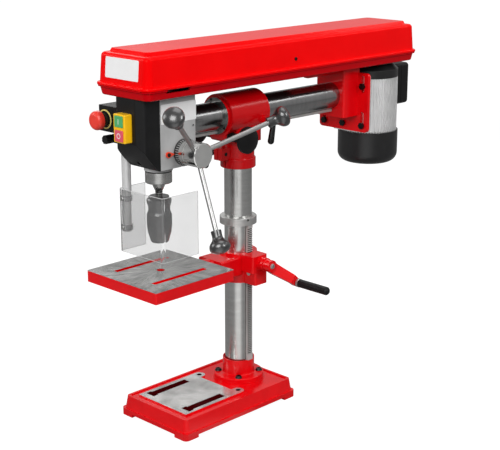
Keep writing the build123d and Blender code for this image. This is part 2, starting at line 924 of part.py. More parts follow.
column_top = plate_top + column_length
ram_rack_top = ram_z - ram_r - gap
ram_rack_tip = ram_rack_top - ram_rack_thickness
ram_pitch_z = ram_rack_tip + rack_addendum * ram_module
ram_pitch_r = ram_module * ram_teeth / 2
pinion_z = ram_pitch_z - ram_pitch_r
ear_screw_y = -(neck_r + ear_front) / 2
ear_screw_z = ear_bottom + ear_height / 2
ram_lock_face = barrel_r + ram_lock_boss

with BuildPart() as head_support:
    with BuildSketch(at_z(support_bottom)):
        Circle(neck_ring_r)
    extrude(amount=neck_ring_height)
    fillet(head_support.edges(), 3)
    with BuildSketch(at_z(support_bottom)):
        Circle(neck_r)
    extrude(amount=ram_z - support_bottom)
    with BuildSketch(at_z(saddle_bottom)):
        RectangleRounded(2 * saddle_half, 2 * saddle_half, saddle_corner)
    extrude(amount=ram_z - saddle_bottom)
    with BuildSketch(at_y(barrel_back)):
        with Locations((0, ram_z)):
            Circle(barrel_r)
    extrude(amount=barrel_back + barrel_front)
    with BuildSketch(at_y(-barrel_front)):
        with Locations((0, ram_z)):
            Circle(nose_r)
    extrude(amount=nose_length)
    with BuildSketch(at_x(-pinion_boss_half)):
        with Locations((pinion_y, pinion_z)):
            Circle(pinion_boss_r)
    extrude(amount=2 * pinion_boss_half)
    with BuildSketch(at_z(ear_bottom)):
        with Locations((0, -ear_front / 2)):
            Rectangle(2 * ear_half, ear_front)
    extrude(amount=ear_height)
    with BuildSketch(at_x(0)):
        with Locations((ram_lock_y, ram_lock_z)):
            Circle(lock_hub_r + 3)
    extrude(amount=ram_lock_face)
    with BuildSketch(at_z(support_bottom)):
        Circle(column_r + run)
    extrude(amount=column_top + 2 - support_bottom, mode=Mode.SUBTRACT)
    with BuildSketch(at_y(barrel_back)):
        with Locations((0, ram_z)):
            Circle(ram_r + run)
        with Locations((0, ram_z - ram_r / 2)):
            Rectangle(2 * (rack_half_width + slide_gap), 2 * (ram_z - ram_r / 2 - ram_rack_tip + slide_gap))
    extrude(amount=barrel_back + barrel_front + nose_length, mode=Mode.SUBTRACT)
    with BuildSketch(at_x(-pinion_boss_half)):
        with Locations((pinion_y, pinion_z)):
            Circle(pinion_land_r + run)
    extrude(amount=2 * pinion_boss_half, mode=Mode.SUBTRACT)
    for side in (-1, 1):
        with BuildSketch(at_x(side * pinion_boss_half)):
            with Locations((pinion_y, pinion_z)):
                Circle(knob_stem_r + knob_relief)
        extrude(amount=side * barrel_r, mode=Mode.SUBTRACT)
    with BuildSketch(at_z(support_bottom)):
        with Locations((0, -(column_r + ear_front) / 2)):
            Rectangle(clamp_slit, ear_front - column_r + 4)
    extrude(amount=ear_bottom + ear_height - support_bottom, mode=Mode.SUBTRACT)
    with BuildSketch(at_x(-ear_half)):
        with Locations((ear_screw_y, ear_screw_z)):
            Circle(lock_screw_r + run)
    extrude(amount=2 * ear_half, mode=Mode.SUBTRACT)
    with BuildSketch(at_x(0)):
        with Locations((ram_lock_y, ram_lock_z)):
            Circle(lock_screw_r + run)
    extrude(amount=ram_lock_face, mode=Mode.SUBTRACT)
keep(head_support, "head_support")

column_lock_seat = Plane(
    origin=(-ear_half - gap, ear_screw_y, ear_screw_z),
    x_dir=(0, -0.5, -1),
    z_dir=(-1, 0, 0),
)
with BuildPart() as column_lock_lever:
    clamp_lever(column_lock_seat, 2 * ear_half + gap, column_lock_standoff, column_lock_handle)
keep(column_lock_lever, "column_lock_lever")

ram_lock_seat = Plane(
    origin=(ram_lock_face + gap, ram_lock_y, ram_lock_z),
    x_dir=(0, -0.2, -1),
    z_dir=(1, 0, 0),
)
ram_lock_reach = ram_lock_face - (ram_r**2 - (ram_z - ram_lock_z - lock_screw_r) ** 2) ** 0.5
with BuildPart() as ram_lock_lever:
    clamp_lever(ram_lock_seat, ram_lock_reach - gap, ram_lock_standoff, ram_lock_handle)
keep(ram_lock_lever, "ram_lock_lever")


# Ram pinion and its knobs

knob_start = pinion_boss_half + gap
knob_seat = knob_start + knob_stem
with BuildPart() as ram_pinion:
    with BuildSketch(at_x(-pinion_face / 2)):
        with BuildLine():
            Polyline(
                *[(pinion_y + u, pinion_z + v) for u, v in gear_line(ram_module, ram_teeth, 90)],
                close=True,
            )
        make_face()
    extrude(amount=pinion_face)
    for side in (-1, 1):
        with BuildSketch(at_x(side * pinion_face / 2)):
            with Locations((pinion_y, pinion_z)):
                Circle(pinion_land_r)
        extrude(amount=side * (pinion_boss_half - pinion_face / 2))
        with BuildSketch(at_x(side * pinion_boss_half)):
            with Locations((pinion_y, pinion_z)):
                Circle(knob_spigot_r)
        extrude(amount=side * (gap + knob_stem))
keep(ram_pinion, "ram_pinion")

with BuildPart() as ram_knobs:
    with BuildSketch(Plane(origin=(0, pinion_y, pinion_z))):
        with BuildLine():
            face_x = knob_seat + knob_rim
            crown_x = knob_seat + knob_crown
            Polyline(
                (crown_x, 0),
                (knob_start, 0),
                (knob_start, knob_stem_r),
                (knob_seat, knob_stem_r),
                (knob_seat + knob_cone, knob_r),
                (face_x, knob_r),
            )
            dome(face_x, knob_r, crown_x)
        make_face()
    revolve(axis=Axis((0, pinion_y, pinion_z), (1, 0, 0)))
    with BuildSketch(at_x(knob_start)):
        with Locations((pinion_y, pinion_z)):
            Circle(knob_spigot_r)
    extrude(amount=knob_stem, mode=Mode.SUBTRACT)
    mirror(about=Plane.YZ)
keep(ram_knobs, "ram_knobs")

with BuildPart() as ram_rack:
    with BuildSketch(at_x(-rack_half_width)):
        outline = rack_line(
            ram_module,
            head_back + gap - pinion_y,
            bracket_face - gap - pinion_y,
            ram_pitch_z,
            -1,
            ram_rack_top,
        )
        with BuildLine():
            Polyline(*[(pinion_y + along, across) for along, across in outline], close=True)
        make_face()
    extrude(amount=2 * rack_half_width)
keep(ram_rack, "ram_rack")

with BuildPart() as ram:
    with BuildSketch(at_y(bracket_plate_y)):
        with Locations((0, ram_z)):
            Circle(ram_r)
            Circle(ram_r - ram_wall, mode=Mode.SUBTRACT)
    extrude(amount=bracket_plate_y - head_back + ram_socket)
keep(ram, "ram")

# Head casting: bored for the quill, the ram, the feed shaft and the pulley's hub

head_top = case_bottom
quill_top = quill_bottom + quill_length
quill_seat = quill_bottom + quill_nose + bumper_height + gap
quill_pitch_y = spindle_y + quill_r - 0.7 - rack_addendum * feed_module
feed_pitch_r = feed_module * feed_teeth / 2
feed_y = quill_pitch_y + feed_pitch_r
feed_tooth_half = feed_land_r + 1
heel_y = head_back - head_heel

with BuildPart() as head_casting:
    with BuildSketch(at_x(-head_half)):
        with BuildLine():
            Polyline(
                (head_front, head_bottom),
                (heel_y, head_bottom),
                (head_back, head_bottom + head_heel_rise),
                (head_back, head_top),
                (head_front, head_top),
                close=True,
            )
        make_face()
    extrude(amount=2 * head_half)
    fillet(head_casting.edges().filter_by(Axis.Z).group_by(Axis.Y)[-1], head_corner)
    with BuildSketch(at_x(-head_half)):
        with Locations((feed_y, feed_z)):
            Circle(feed_boss_r)
    extrude(amount=2 * head_half)
    with BuildSketch(at_z(quill_seat)):
        with Locations((0, spindle_y)):
            Circle(quill_boss_r)
    extrude(amount=head_bottom - quill_seat + 20)
    with BuildSketch(at_z(quill_seat)):
        with Locations((0, spindle_y)):
            Circle(quill_r + run)
    extrude(amount=quill_top + 2 - quill_seat, mode=Mode.SUBTRACT)
    with BuildSketch(at_z(quill_top + 2)):
        with Locations((0, spindle_y)):
            Circle(pulley_hub_r + run)
    extrude(amount=head_top - quill_top - 2, mode=Mode.SUBTRACT)
    with BuildSketch(at_y(head_back)):
        with Locations((0, ram_z)):
            Circle(ram_r)
    extrude(amount=ram_socket, mode=Mode.SUBTRACT)
    with BuildSketch(at_x(head_half)):
        with Locations((feed_y, feed_z)):
            Circle(feed_land_r + run)
    extrude(amount=-(head_half + feed_tooth_half + gap), mode=Mode.SUBTRACT)
    with BuildSketch(at_x(-head_half)):
        with Locations((feed_y, feed_z)):
            Circle(feed_journal_r + run)
    extrude(amount=head_half, mode=Mode.SUBTRACT)
    with BuildSketch(at_x(head_half)):
        with Locations((head_back - set_screw_in, ram_z)):
            Circle(set_screw_r)
    extrude(amount=-set_screw_depth, mode=Mode.SUBTRACT)
keep(head_casting, "head_casting")

# Front cover: a moulded shell with slanting cheeks and a swept-back chin

cover_front = head_front - cover_depth
chin_top = head_bottom + cover_chin_rise
with BuildPart() as front_cover:
    with BuildSketch(at_z(head_bottom)) as cover_plan:
        with BuildLine():
            Polyline(
                (-head_half, head_front),
                (-head_half, cover_front + cover_cheek),
                (-cover_face_half, cover_front),
                (cover_face_half, cover_front),
                (head_half, cover_front + cover_cheek),
                (head_half, head_front),
                close=True,
            )
        make_face()
        fillet(cover_plan.vertices().filter_by_position(Axis.Y, cover_front, head_front - 1), cover_round)
    extrude(amount=head_top - head_bottom)
    with BuildSketch(at_x(-head_half)):
        with BuildLine():
            chin_start = (cover_front, chin_top)
            chin_end = (cover_front + cover_chin_back, head_bottom)
            chin_mid = (cover_front + 0.44 * cover_chin_back, chin_top - 0.535 * cover_chin_rise)
            ThreePointArc(chin_start, chin_mid, chin_end)
            Polyline(chin_end, (cover_front - 1, head_bottom), (cover_front - 1, chin_top), chin_start)
        make_face()
    extrude(amount=2 * head_half, mode=Mode.SUBTRACT)
    offset(amount=-cover_wall, openings=front_cover.faces().sort_by(Axis.Y)[-1])
    with BuildSketch(at_y(cover_front + cover_chin_back)):
        with Locations((cover_hole_x, head_bottom + cover_hole_rise)):
            Circle(cover_hole_r)
    extrude(amount=cover_chin_back, mode=Mode.SUBTRACT)
keep(front_cover, "front_cover")

# Switch: a yellow body with a start and a stop button, both sprung

switch_face = cover_front - switch_depth
button_depth = switch_depth / 2
button_rise = switch_height / 4
with BuildPart() as switch_body:
    with BuildSketch(at_y(cover_front)):
        with Locations((0, switch_z)):
            RectangleRounded(switch_width, switch_height, 3)
    extrude(amount=switch_depth)
    chamfer(switch_body.faces().sort_by(Axis.Y)[0].edges(), 1.5)
    with BuildSketch(at_y(switch_face + button_depth)):
        with Locations((0, switch_z - button_rise), (0, switch_z + button_rise)):
            RectangleRounded(button_width + 2 * gap, button_height + 2 * gap, 2)
    extrude(amount=button_depth, mode=Mode.SUBTRACT)
keep(switch_body, "switch_body")

for side, name in ((1, "start_button"), (-1, "stop_button")):
    with BuildPart() as button:
        with BuildSketch(at_y(switch_face + button_depth - button_travel - gap)):
            with Locations((0, switch_z + side * button_rise)):
                RectangleRounded(button_width, button_height, 2)
        extrude(amount=button_depth - button_travel - gap + button_proud)
        fillet(button.faces().sort_by(Axis.Y)[0].edges(), 1)
    keep(button, name)

# Guard box: carries the emergency stop, the guard rod's sleeve and the clamp knob's lug

guard_box_x = -head_half - guard_box_width / 2
rod_y = guard_box_front + rod_setback
guard_front = rod_y - rod_r - guard_standoff
sleeve_bottom = guard_box_bottom - rod_sleeve
rod_top = guard_box_bottom + rod_sleeve
lug_front = rod_y - rod_r - 2
with BuildPart() as guard_box:
    with BuildSketch(at_z(guard_box_bottom)):
        with Locations((guard_box_x, guard_box_front + guard_box_depth / 2)):
            Rectangle(guard_box_width, guard_box_depth)
    extrude(amount=guard_box_height)
    chamfer(guard_box.faces().sort_by(Axis.X)[0].edges(), 2)
    with BuildSketch(at_z(sleeve_bottom)):
        with Locations((rod_x, rod_y)):
            Circle(rod_r + 2)
    extrude(amount=rod_sleeve)
    with BuildSketch(at_y(rod_y + rod_r)):
        with Locations(((guard_knob_x + rod_x) / 2, guard_knob_z)):
            SlotCenterToCenter(rod_x - guard_knob_x, 2 * guard_knob_r)
    extrude(amount=2 * rod_r + 2)
    with BuildSketch(at_z(sleeve_bottom)):
        with Locations((rod_x, rod_y)):
            Circle(rod_r + run)
    extrude(amount=2 * rod_sleeve + 2, mode=Mode.SUBTRACT)
    with BuildSketch(at_y(guard_box_front)):
        with Locations((estop_x, estop_z)):
            Circle(estop_stem_r + gap)
    extrude(amount=-estop_stem, mode=Mode.SUBTRACT)
    with BuildSketch(at_y(lug_front)):
        with Locations((guard_knob_x, guard_knob_z)):
            Circle(4 + run)
    extrude(amount=-rod_r, mode=Mode.SUBTRACT)
    with BuildSketch(at_x(-head_half)):
        with Locations((rod_y, guard_knob_z)):
            Rectangle(4 * rod_r, 4 * rod_r)
    extrude(amount=rod_r, mode=Mode.SUBTRACT)
keep(guard_box, "guard_box")

with BuildPart() as estop_button:
    with BuildSketch(at_y(guard_box_front + estop_stem - estop_travel - 1)):
        with Locations((estop_x, estop_z)):
            Circle(estop_stem_r)
    extrude(amount=2 * estop_stem - estop_travel - 1)
    with BuildSketch(at_y(guard_box_front - estop_stem)):
        with Locations((estop_x, estop_z)):
            Circle(estop_r)
    extrude(amount=estop_cap)
    fillet(estop_button.edges().group_by(Axis.Y)[0], estop_round)
keep(estop_button, "estop_button")

with BuildPart() as guard_knob:
    with BuildSketch(at_y(lug_front + rod_r - 2)):
        with Locations((guard_knob_x, guard_knob_z)):
            Circle(4)
    extrude(amount=rod_r + 2)
    with BuildSketch(at_y(lug_front - gap)):
        with Locations((guard_knob_x, guard_knob_z)):
            Circle(guard_knob_r * 0.6)
    extrude(amount=5)
    with BuildSketch(at_y(lug_front - 5)):
        with Locations((guard_knob_x, guard_knob_z)):
            Circle(guard_knob_r)
            with PolarLocations(guard_knob_r + 2, 8):
                Circle(3.2, mode=Mode.SUBTRACT)
    extrude(amount=2 * guard_knob_r)
keep(guard_knob, "guard_knob")

with BuildPart() as guard_rod:
    with BuildSketch(at_z(rod_bottom)):
        with Locations((rod_x, rod_y)):
            Circle(rod_r)
            with PolarLocations(rod_r, 4):
                Rectangle(4, 3, mode=Mode.SUBTRACT)
    extrude(amount=rod_top - rod_bottom)
keep(guard_rod, "guard_rod")

guard_long = max(guard_right_wing, guard_left_wing)
with BuildPart() as guard:
    with BuildSketch(at_z(guard_bottom)):
        with Locations((0, guard_front + guard_long)):
            RectangleRounded(2 * guard_half, 2 * guard_long, guard_bend)
            RectangleRounded(
                2 * (guard_half - guard_sheet),
                2 * (guard_long - guard_sheet),
                guard_bend - guard_sheet,
                mode=Mode.SUBTRACT,
            )
        with Locations((guard_half / 2, guard_front + guard_right_wing + guard_long)):
            Rectangle(guard_half + 2, 2 * guard_long, mode=Mode.SUBTRACT)
        with Locations((-guard_half / 2, guard_front + guard_left_wing + guard_long)):
            Rectangle(guard_half + 2, 2 * guard_long, mode=Mode.SUBTRACT)
    extrude(amount=guard_height)
    for clip_z in (rod_bottom + 4, guard_bottom + guard_height - 2.5 * guard_clip_height):
        with BuildSketch(at_z(clip_z)):
            with Locations((rod_x, rod_y)):
                Circle(rod_r + guard_clip_wall)
            with Locations(((rod_x - guard_half + guard_sheet) / 2, (rod_y + guard_front + guard_sheet) / 2)):
                Rectangle(guard_half - guard_sheet + rod_x, rod_y - guard_front - guard_sheet)
            with Locations((rod_x, rod_y)):
                Circle(rod_r + run, mode=Mode.SUBTRACT)
        extrude(amount=guard_clip_height)
keep(guard, "guard")

# Quill with its rack, bumper and bearings

with BuildPart() as quill:
    with BuildSketch(at_z(quill_bottom)):
        with Locations((0, spindle_y)):
            Circle(quill_r)
    extrude(amount=quill_length)
    with BuildSketch(at_z(quill_bottom)):
        with Locations((0, spindle_y)):
            Circle(quill_nose_r)
    extrude(amount=quill_nose)
    chamfer(quill.faces().sort_by(Axis.Z)[0].edges(), 1.5)
    with BuildSketch(at_z(quill_bottom)):
        with Locations((0, spindle_y)):
            Circle(quill_bore_r)
    extrude(amount=quill_length, mode=Mode.SUBTRACT)
    with BuildSketch(at_x(-quill_r)):
        outline = rack_line(
            feed_module,
            -rack_plain - feed_module * 4,
            quill_stroke + rack_plain + feed_module * 8,
            quill_pitch_y,
            1,
            spindle_y + quill_r + 1,
        )
        with BuildLine():
            Polyline(*[(across, feed_z + along) for along, across in outline], close=True)
        make_face()
    extrude(amount=2 * quill_r, mode=Mode.SUBTRACT)
keep(quill, "quill")

with BuildPart() as bumper_ring:
    with BuildSketch(at_z(quill_bottom + quill_nose)):
        with Locations((0, spindle_y)):
            Circle(quill_nose_r)
            Circle(quill_r, mode=Mode.SUBTRACT)
    extrude(amount=bumper_height)
keep(bumper_ring, "bumper_ring")

with BuildPart() as quill_bearings:
    for seat_z in (quill_bottom + 4, quill_top - bearing_width - 4):
        with BuildSketch(at_z(seat_z)):
            with Locations((0, spindle_y)):
                Circle(quill_bore_r)
                Circle(spindle_r + run, mode=Mode.SUBTRACT)
        extrude(amount=bearing_width)
keep(quill_bearings, "quill_bearings")

# Spindle, and the keyless chuck on its taper

spindle_axis = Axis((0, spindle_y, 0), (0, 0, 1))
side_view = Plane(origin=(0, spindle_y, 0), x_dir=(1, 0, 0), z_dir=(0, -1, 0))
nose_top = quill_bottom - gap
nose_bottom = nose_top - spindle_nose
taper_bottom = chuck_top - taper_length
with BuildPart() as spindle:
    with BuildSketch(side_view):
        with BuildLine():
            Polyline(
                (0, taper_bottom),
                (taper_r - 1, taper_bottom),
                (taper_r, chuck_top),
                (spindle_neck_r, nose_bottom),
                (spindle_nose_r, nose_bottom + 0.6 * spindle_nose),
                (spindle_nose_r, nose_top),
                (spindle_r, nose_top),
                (spindle_r, quill_top),
                (spindle_spline_r, quill_top),
                (spindle_spline_r, spindle_top),
                (0, spindle_top),
                close=True,
            )
        make_face()
    revolve(axis=spindle_axis)
keep(spindle, "spindle")

chuck_bottom = chuck_top - chuck_height
grip_bottom = chuck_top - 0.33 * chuck_height
core_shoulder = chuck_bottom + 0.26 * chuck_height
jaw_foot = chuck_bottom + 7
jaw_foot_r = chuck_hole_r + jaw_r + 0.2


def jaw_axis(number):
    """The slanting axis of one jaw: from a point under the chuck, upwards and outwards."""
    turn = 2 * pi * number / 3
    lean = radians(jaw_lean)
    direction = (sin(lean) * cos(turn), sin(lean) * sin(turn), cos(lean))
    origin = (jaw_foot_r * cos(turn), spindle_y + jaw_foot_r * sin(turn), jaw_foot)
    return Plane(origin=origin, z_dir=direction)


with BuildPart() as chuck_body:
    with BuildSketch(side_view):
        with BuildLine():
            Polyline(
                (0, chuck_bottom + 2),
                (chuck_core_nose_r, chuck_bottom + 2),
                (chuck_core_nose_r, jaw_foot),
                (chuck_core_r, core_shoulder),
                (chuck_core_r, grip_bottom),
                (chuck_waist_r, grip_bottom),
                (chuck_waist_r, grip_bottom + 0.1 * chuck_height),
                (chuck_flare_r, chuck_top - 0.12 * chuck_height),
                (chuck_flare_r, chuck_top - 0.07 * chuck_height),
                (chuck_disc_r, chuck_top - 0.05 * chuck_height),
                (chuck_disc_r, chuck_top),
                (0, chuck_top),
                close=True,
            )
        make_face()
    revolve(axis=spindle_axis)
    with BuildSketch(side_view):
        with BuildLine():
            Polyline(
                (0, taper_bottom),
                (taper_r - 1, taper_bottom),
                (taper_r, chuck_top),
                (0, chuck_top),
                close=True,
            )
        make_face()
    revolve(axis=spindle_axis, mode=Mode.SUBTRACT)
    with BuildSketch(at_z(chuck_bottom)):
        with Locations((0, spindle_y)):
            Circle(chuck_hole_r)
    extrude(amount=taper_bottom - chuck_bottom - 6, mode=Mode.SUBTRACT)
    for number in range(3):
        with BuildSketch(jaw_axis(number).offset(-2 * jaw_r)):
            Circle(jaw_r + run)
        extrude(amount=jaw_length + 2 * jaw_r + 1, mode=Mode.SUBTRACT)
keep(chuck_body, "chuck_body")

with BuildPart() as chuck_sleeve:
    with BuildSketch(side_view):
        with BuildLine():
            Polyline(
                (chuck_core_nose_r + gap, chuck_bottom),
                (chuck_nose_r - 1.5, chuck_bottom),
                (chuck_nose_r, chuck_bottom + 1.5),
                (0.93 * chuck_sleeve_r, chuck_bottom + 0.22 * chuck_height),
                (chuck_sleeve_r, chuck_bottom + 0.38 * chuck_height),
                (chuck_sleeve_r, grip_bottom - 0.08 * chuck_height),
                (0.9 * chuck_sleeve_r, grip_bottom - gap),
                (chuck_core_r + gap, grip_bottom - gap),
                (chuck_core_r + gap, core_shoulder),
                (chuck_core_nose_r + gap, jaw_foot),
                close=True,
            )
        make_face()
    revolve(axis=spindle_axis)
keep(chuck_sleeve, "chuck_sleeve")

for number in range(3):
    with BuildPart() as jaw:
        with BuildSketch(jaw_axis(number)):
            Circle(jaw_r)
        extrude(amount=jaw_length)
    keep(jaw, f"chuck_jaw_{number + 1}")

# Feed: pinion shaft, hub, depth ring, rods and bell knobs

hub_back = head_half + gap
hub_face = hub_back + depth_ring_width + feed_hub_length
with BuildPart() as feed_shaft:
    with BuildSketch(at_x(-feed_tooth_half)):
        with BuildLine():
            Polyline(
                *[(feed_y + u, feed_z + v) for u, v in gear_line(feed_module, feed_teeth, 180)],
                close=True,
            )
        make_face()
    extrude(amount=2 * feed_tooth_half)
    with BuildSketch(at_x(feed_tooth_half)):
        with Locations((feed_y, feed_z)):
            Circle(feed_land_r)
    extrude(amount=head_half - feed_tooth_half)
    with BuildSketch(at_x(head_half)):
        with Locations((feed_y, feed_z)):
            Circle(feed_journal_r)
    extrude(amount=hub_face - head_half - depth_ring_width)
    with BuildSketch(at_x(-feed_tooth_half)):
        with Locations((feed_y, feed_z)):
            Circle(feed_journal_r)
    extrude(amount=-(head_half - feed_tooth_half))
    with BuildSketch(at_x(-head_half)):
        with Locations((feed_y, feed_z)):
            Circle(feed_journal_r - 2)
    extrude(amount=-spring_cap_depth - 4)
keep(feed_shaft, "feed_shaft")


def feed_rod_plane(number):
    """A plane on the hub's axis whose normal runs along one leaning feed rod."""
    lean = radians(feed_rod_lean)
    turn = radians(feed_rod_angle - 120 * number)
    direction = (sin(lean), cos(lean) * cos(turn), cos(lean) * sin(turn))
    return Plane(origin=(feed_rod_x, feed_y, feed_z), x_dir=(0, -sin(turn), cos(turn)), z_dir=direction)


with BuildPart() as feed_hub:
    with BuildSketch(at_x(hub_back)):
        with Locations((feed_y, feed_z)):
            Circle(0.7 * feed_hub_r)
    extrude(amount=depth_ring_width)
    with BuildSketch(at_x(hub_back + depth_ring_width)):
        with Locations((feed_y, feed_z)):
            Circle(feed_hub_r)
    extrude(amount=feed_hub_length)
    chamfer(feed_hub.faces().sort_by(Axis.X)[-1].edges(), 2)
    with BuildSketch(at_x(hub_back + depth_ring_width + hub_groove_at)):
        with Locations((feed_y, feed_z)):
            Circle(feed_hub_r + 1)
            Circle(feed_hub_r - hub_groove_depth, mode=Mode.SUBTRACT)
    extrude(amount=hub_groove_width, mode=Mode.SUBTRACT)
    with BuildSketch(at_x(hub_back)):
        with Locations((feed_y, feed_z)):
            Circle(feed_journal_r)
    extrude(amount=hub_face - hub_back - depth_ring_width + gap, mode=Mode.SUBTRACT)
    for number in range(3):
        with BuildSketch(feed_rod_plane(number).offset(feed_rod_sink)):
            Circle(feed_rod_r)
        extrude(amount=feed_hub_r, mode=Mode.SUBTRACT)
keep(feed_hub, "feed_hub")

with BuildPart() as depth_ring:
    with BuildSketch(at_x(hub_back)):
        with Locations((feed_y, feed_z)):
            Circle(depth_ring_r)
            Circle(0.7 * feed_hub_r, mode=Mode.SUBTRACT)
    extrude(amount=depth_ring_width)
keep(depth_ring, "depth_ring")

with BuildPart() as feed_rods:
    for number in range(3):
        with BuildSketch(feed_rod_plane(number).offset(feed_rod_sink)):
            Circle(feed_rod_r)
        extrude(amount=feed_rod_length)
keep(feed_rods, "feed_rods")

with BuildPart() as feed_knobs:
    for number in range(3):
        rod = feed_rod_plane(number)
        knob_back = feed_reach - feed_knob_length
        with BuildSketch(Plane(origin=rod.origin, x_dir=rod.z_dir, z_dir=rod.y_dir)):
            with BuildLine():
                Line((knob_back, 0), (knob_back, feed_knob_neck_r))
                Spline(
                    (knob_back, feed_knob_neck_r),
                    (knob_back + 0.36 * feed_knob_length, 1.08 * feed_knob_neck_r),
                    (feed_reach - feed_knob_end, feed_knob_r),
                    tangents=((1, 0), (1, 0)),
                )
                Spline(
                    (feed_reach - feed_knob_end, feed_knob_r),
                    (feed_reach - 0.3 * feed_knob_end, 0.7 * feed_knob_r),
                    (feed_reach, 0),
                    tangents=((1, 0), (0, -1)),
                )
                Line((feed_reach, 0), (knob_back, 0))
            make_face()
        revolve(axis=Axis(rod.origin, rod.z_dir))
    for number in range(3):
        with BuildSketch(feed_rod_plane(number).offset(knob_back)):
            Circle(feed_rod_r)
        extrude(amount=feed_rod_sink + feed_rod_length - knob_back, mode=Mode.SUBTRACT)
keep(feed_knobs, "feed_knobs")

with BuildPart() as depth_pointer:
    tip_y = feed_y - depth_ring_r - 1
    with BuildSketch(at_x(head_half)):
        with Locations((tip_y - pointer_reach, feed_z)):
            Circle(pointer_r)
        with Locations((tip_y - 1, feed_z)):
            Circle(1)
        make_hull()
    extrude(amount=pointer_thick)
keep(depth_pointer, "depth_pointer")

with BuildPart() as spring_cap:
    with BuildSketch(at_x(-head_half)):
        with Locations((feed_y, feed_z)):
            Circle(spring_cap_r)
    extrude(amount=-spring_cap_depth)
    fillet(spring_cap.faces().sort_by(Axis.X)[0].edges(), 2)
    with BuildSketch(at_x(-head_half)):
        with Locations((feed_y, feed_z)):
            Circle(spring_cap_r - 2.5)
    extrude(amount=-spring_cap_depth + 2.5, mode=Mode.SUBTRACT)
    with BuildSketch(at_x(-head_half)):
        with Locations((feed_y, feed_z)):
            Circle(feed_journal_r - 2 + gap)
    extrude(amount=-spring_cap_depth, mode=Mode.SUBTRACT)
keep(spring_cap, "spring_cap")

spring_in = feed_journal_r - 2 + gap
spring_out = spring_cap_r - 2.5 - spring_strip


def spring_point(step, outward):
    """A point on the wound strip: an even spiral in 20 steps a turn, offset by the strip's thickness."""
    share = step / (20 * spring_turns)
    radius = spring_in + (spring_out - spring_in) * share + outward
    return (feed_y + radius * cos(2 * pi * step / 20), feed_z + radius * sin(2 * pi * step / 20))


with BuildPart() as return_spring:
    with BuildSketch(at_x(-head_half - (spring_cap_depth - spring_width) / 2)):
        with BuildLine():
            inner = [spring_point(step, 0) for step in range(20 * spring_turns + 1)]
            outer = [spring_point(step, spring_strip) for step in range(20 * spring_turns + 1)]
            Polyline(*inner, *reversed(outer), close=True)
        make_face()
    extrude(amount=-spring_width)
keep(return_spring, "return_spring")

# Belt drive: two stepped pulleys and a belt on their middle steps


def pulley_line(largest_first):
    """Half outline of a stepped V-pulley: (radius, height) points from the bottom upwards."""
    points = []
    for number in range(pulley_steps):
        place = pulley_steps - 1 - number if largest_first else number
        radius = pulley_small_r + pulley_growth * place
        low = pulley_bottom + number * pulley_step
        middle = low + pulley_step / 2
        points += [
            (radius, low),
            (radius, middle - groove_half),
            (radius - groove_depth, middle - groove_foot_half),
            (radius - groove_depth, middle + groove_foot_half),
            (radius, middle + groove_half),
            (radius, low + pulley_step),
        ]
    return points


pulley_top = pulley_bottom + pulley_steps * pulley_step
motor_axis = Axis((0, motor_y, 0), (0, 0, 1))
motor_view = Plane(origin=(0, motor_y, 0), x_dir=(1, 0, 0), z_dir=(0, -1, 0))

with BuildPart() as spindle_pulley:
    with BuildSketch(side_view):
        with BuildLine():
            Polyline(
                (spindle_spline_r + run, quill_top + 4),
                (pulley_hub_r, quill_top + 4),
                (pulley_hub_r, pulley_bottom),
                *pulley_line(True),
                (spindle_spline_r + run, pulley_top),
                close=True,
            )
        make_face()
    revolve(axis=spindle_axis)
keep(spindle_pulley, "spindle_pulley")

with BuildPart() as motor_pulley:
    with BuildSketch(motor_view):
        with BuildLine():
            Polyline(
                (motor_shaft_r, pulley_bottom),
                *pulley_line(False),
                (motor_shaft_r, pulley_top),
                close=True,
            )
        make_face()
    revolve(axis=motor_axis)
keep(motor_pulley, "motor_pulley")

belt_z = pulley_bottom + pulley_step * pulley_steps / 2
belt_out = pulley_small_r + pulley_growth * (pulley_steps - 1) / 2 - 0.6
belt_in = belt_out - belt_thick
belt_section = [
    (belt_out, belt_z - belt_half),
    (belt_out, belt_z + belt_half),
    (belt_in, belt_z + belt_foot_half),
    (belt_in, belt_z - belt_foot_half),
]
with BuildPart() as drive_belt:
    for side in (-1, 1):
        with BuildSketch(at_y(motor_y)):
            with BuildLine():
                Polyline(*[(side * across, height) for across, height in belt_section], close=True)
            make_face()
        extrude(amount=motor_y - spindle_y)
    for place, axis, turn in ((motor_view, motor_axis, 180), (side_view, spindle_axis, -180)):
        with BuildSketch(place):
            with BuildLine():
                Polyline(*belt_section, close=True)
            make_face()
        revolve(axis=axis, revolution_arc=turn)
keep(drive_belt, "drive_belt")

# Belt case: a drawn tray and a hinged lid

case_length = case_back - case_front
case_mid = (case_back + case_front) / 2
tray_top = case_bottom + case_depth
tray_spread = case_depth * tan(radians(case_flare))
lid_bottom = tray_top + gap
hinge_x = -(case_half + tray_spread + flange_out + hinge_out)
hinge_z = tray_top + gap / 2
hinge_places = [case_mid - hinge_y, case_mid + hinge_y]

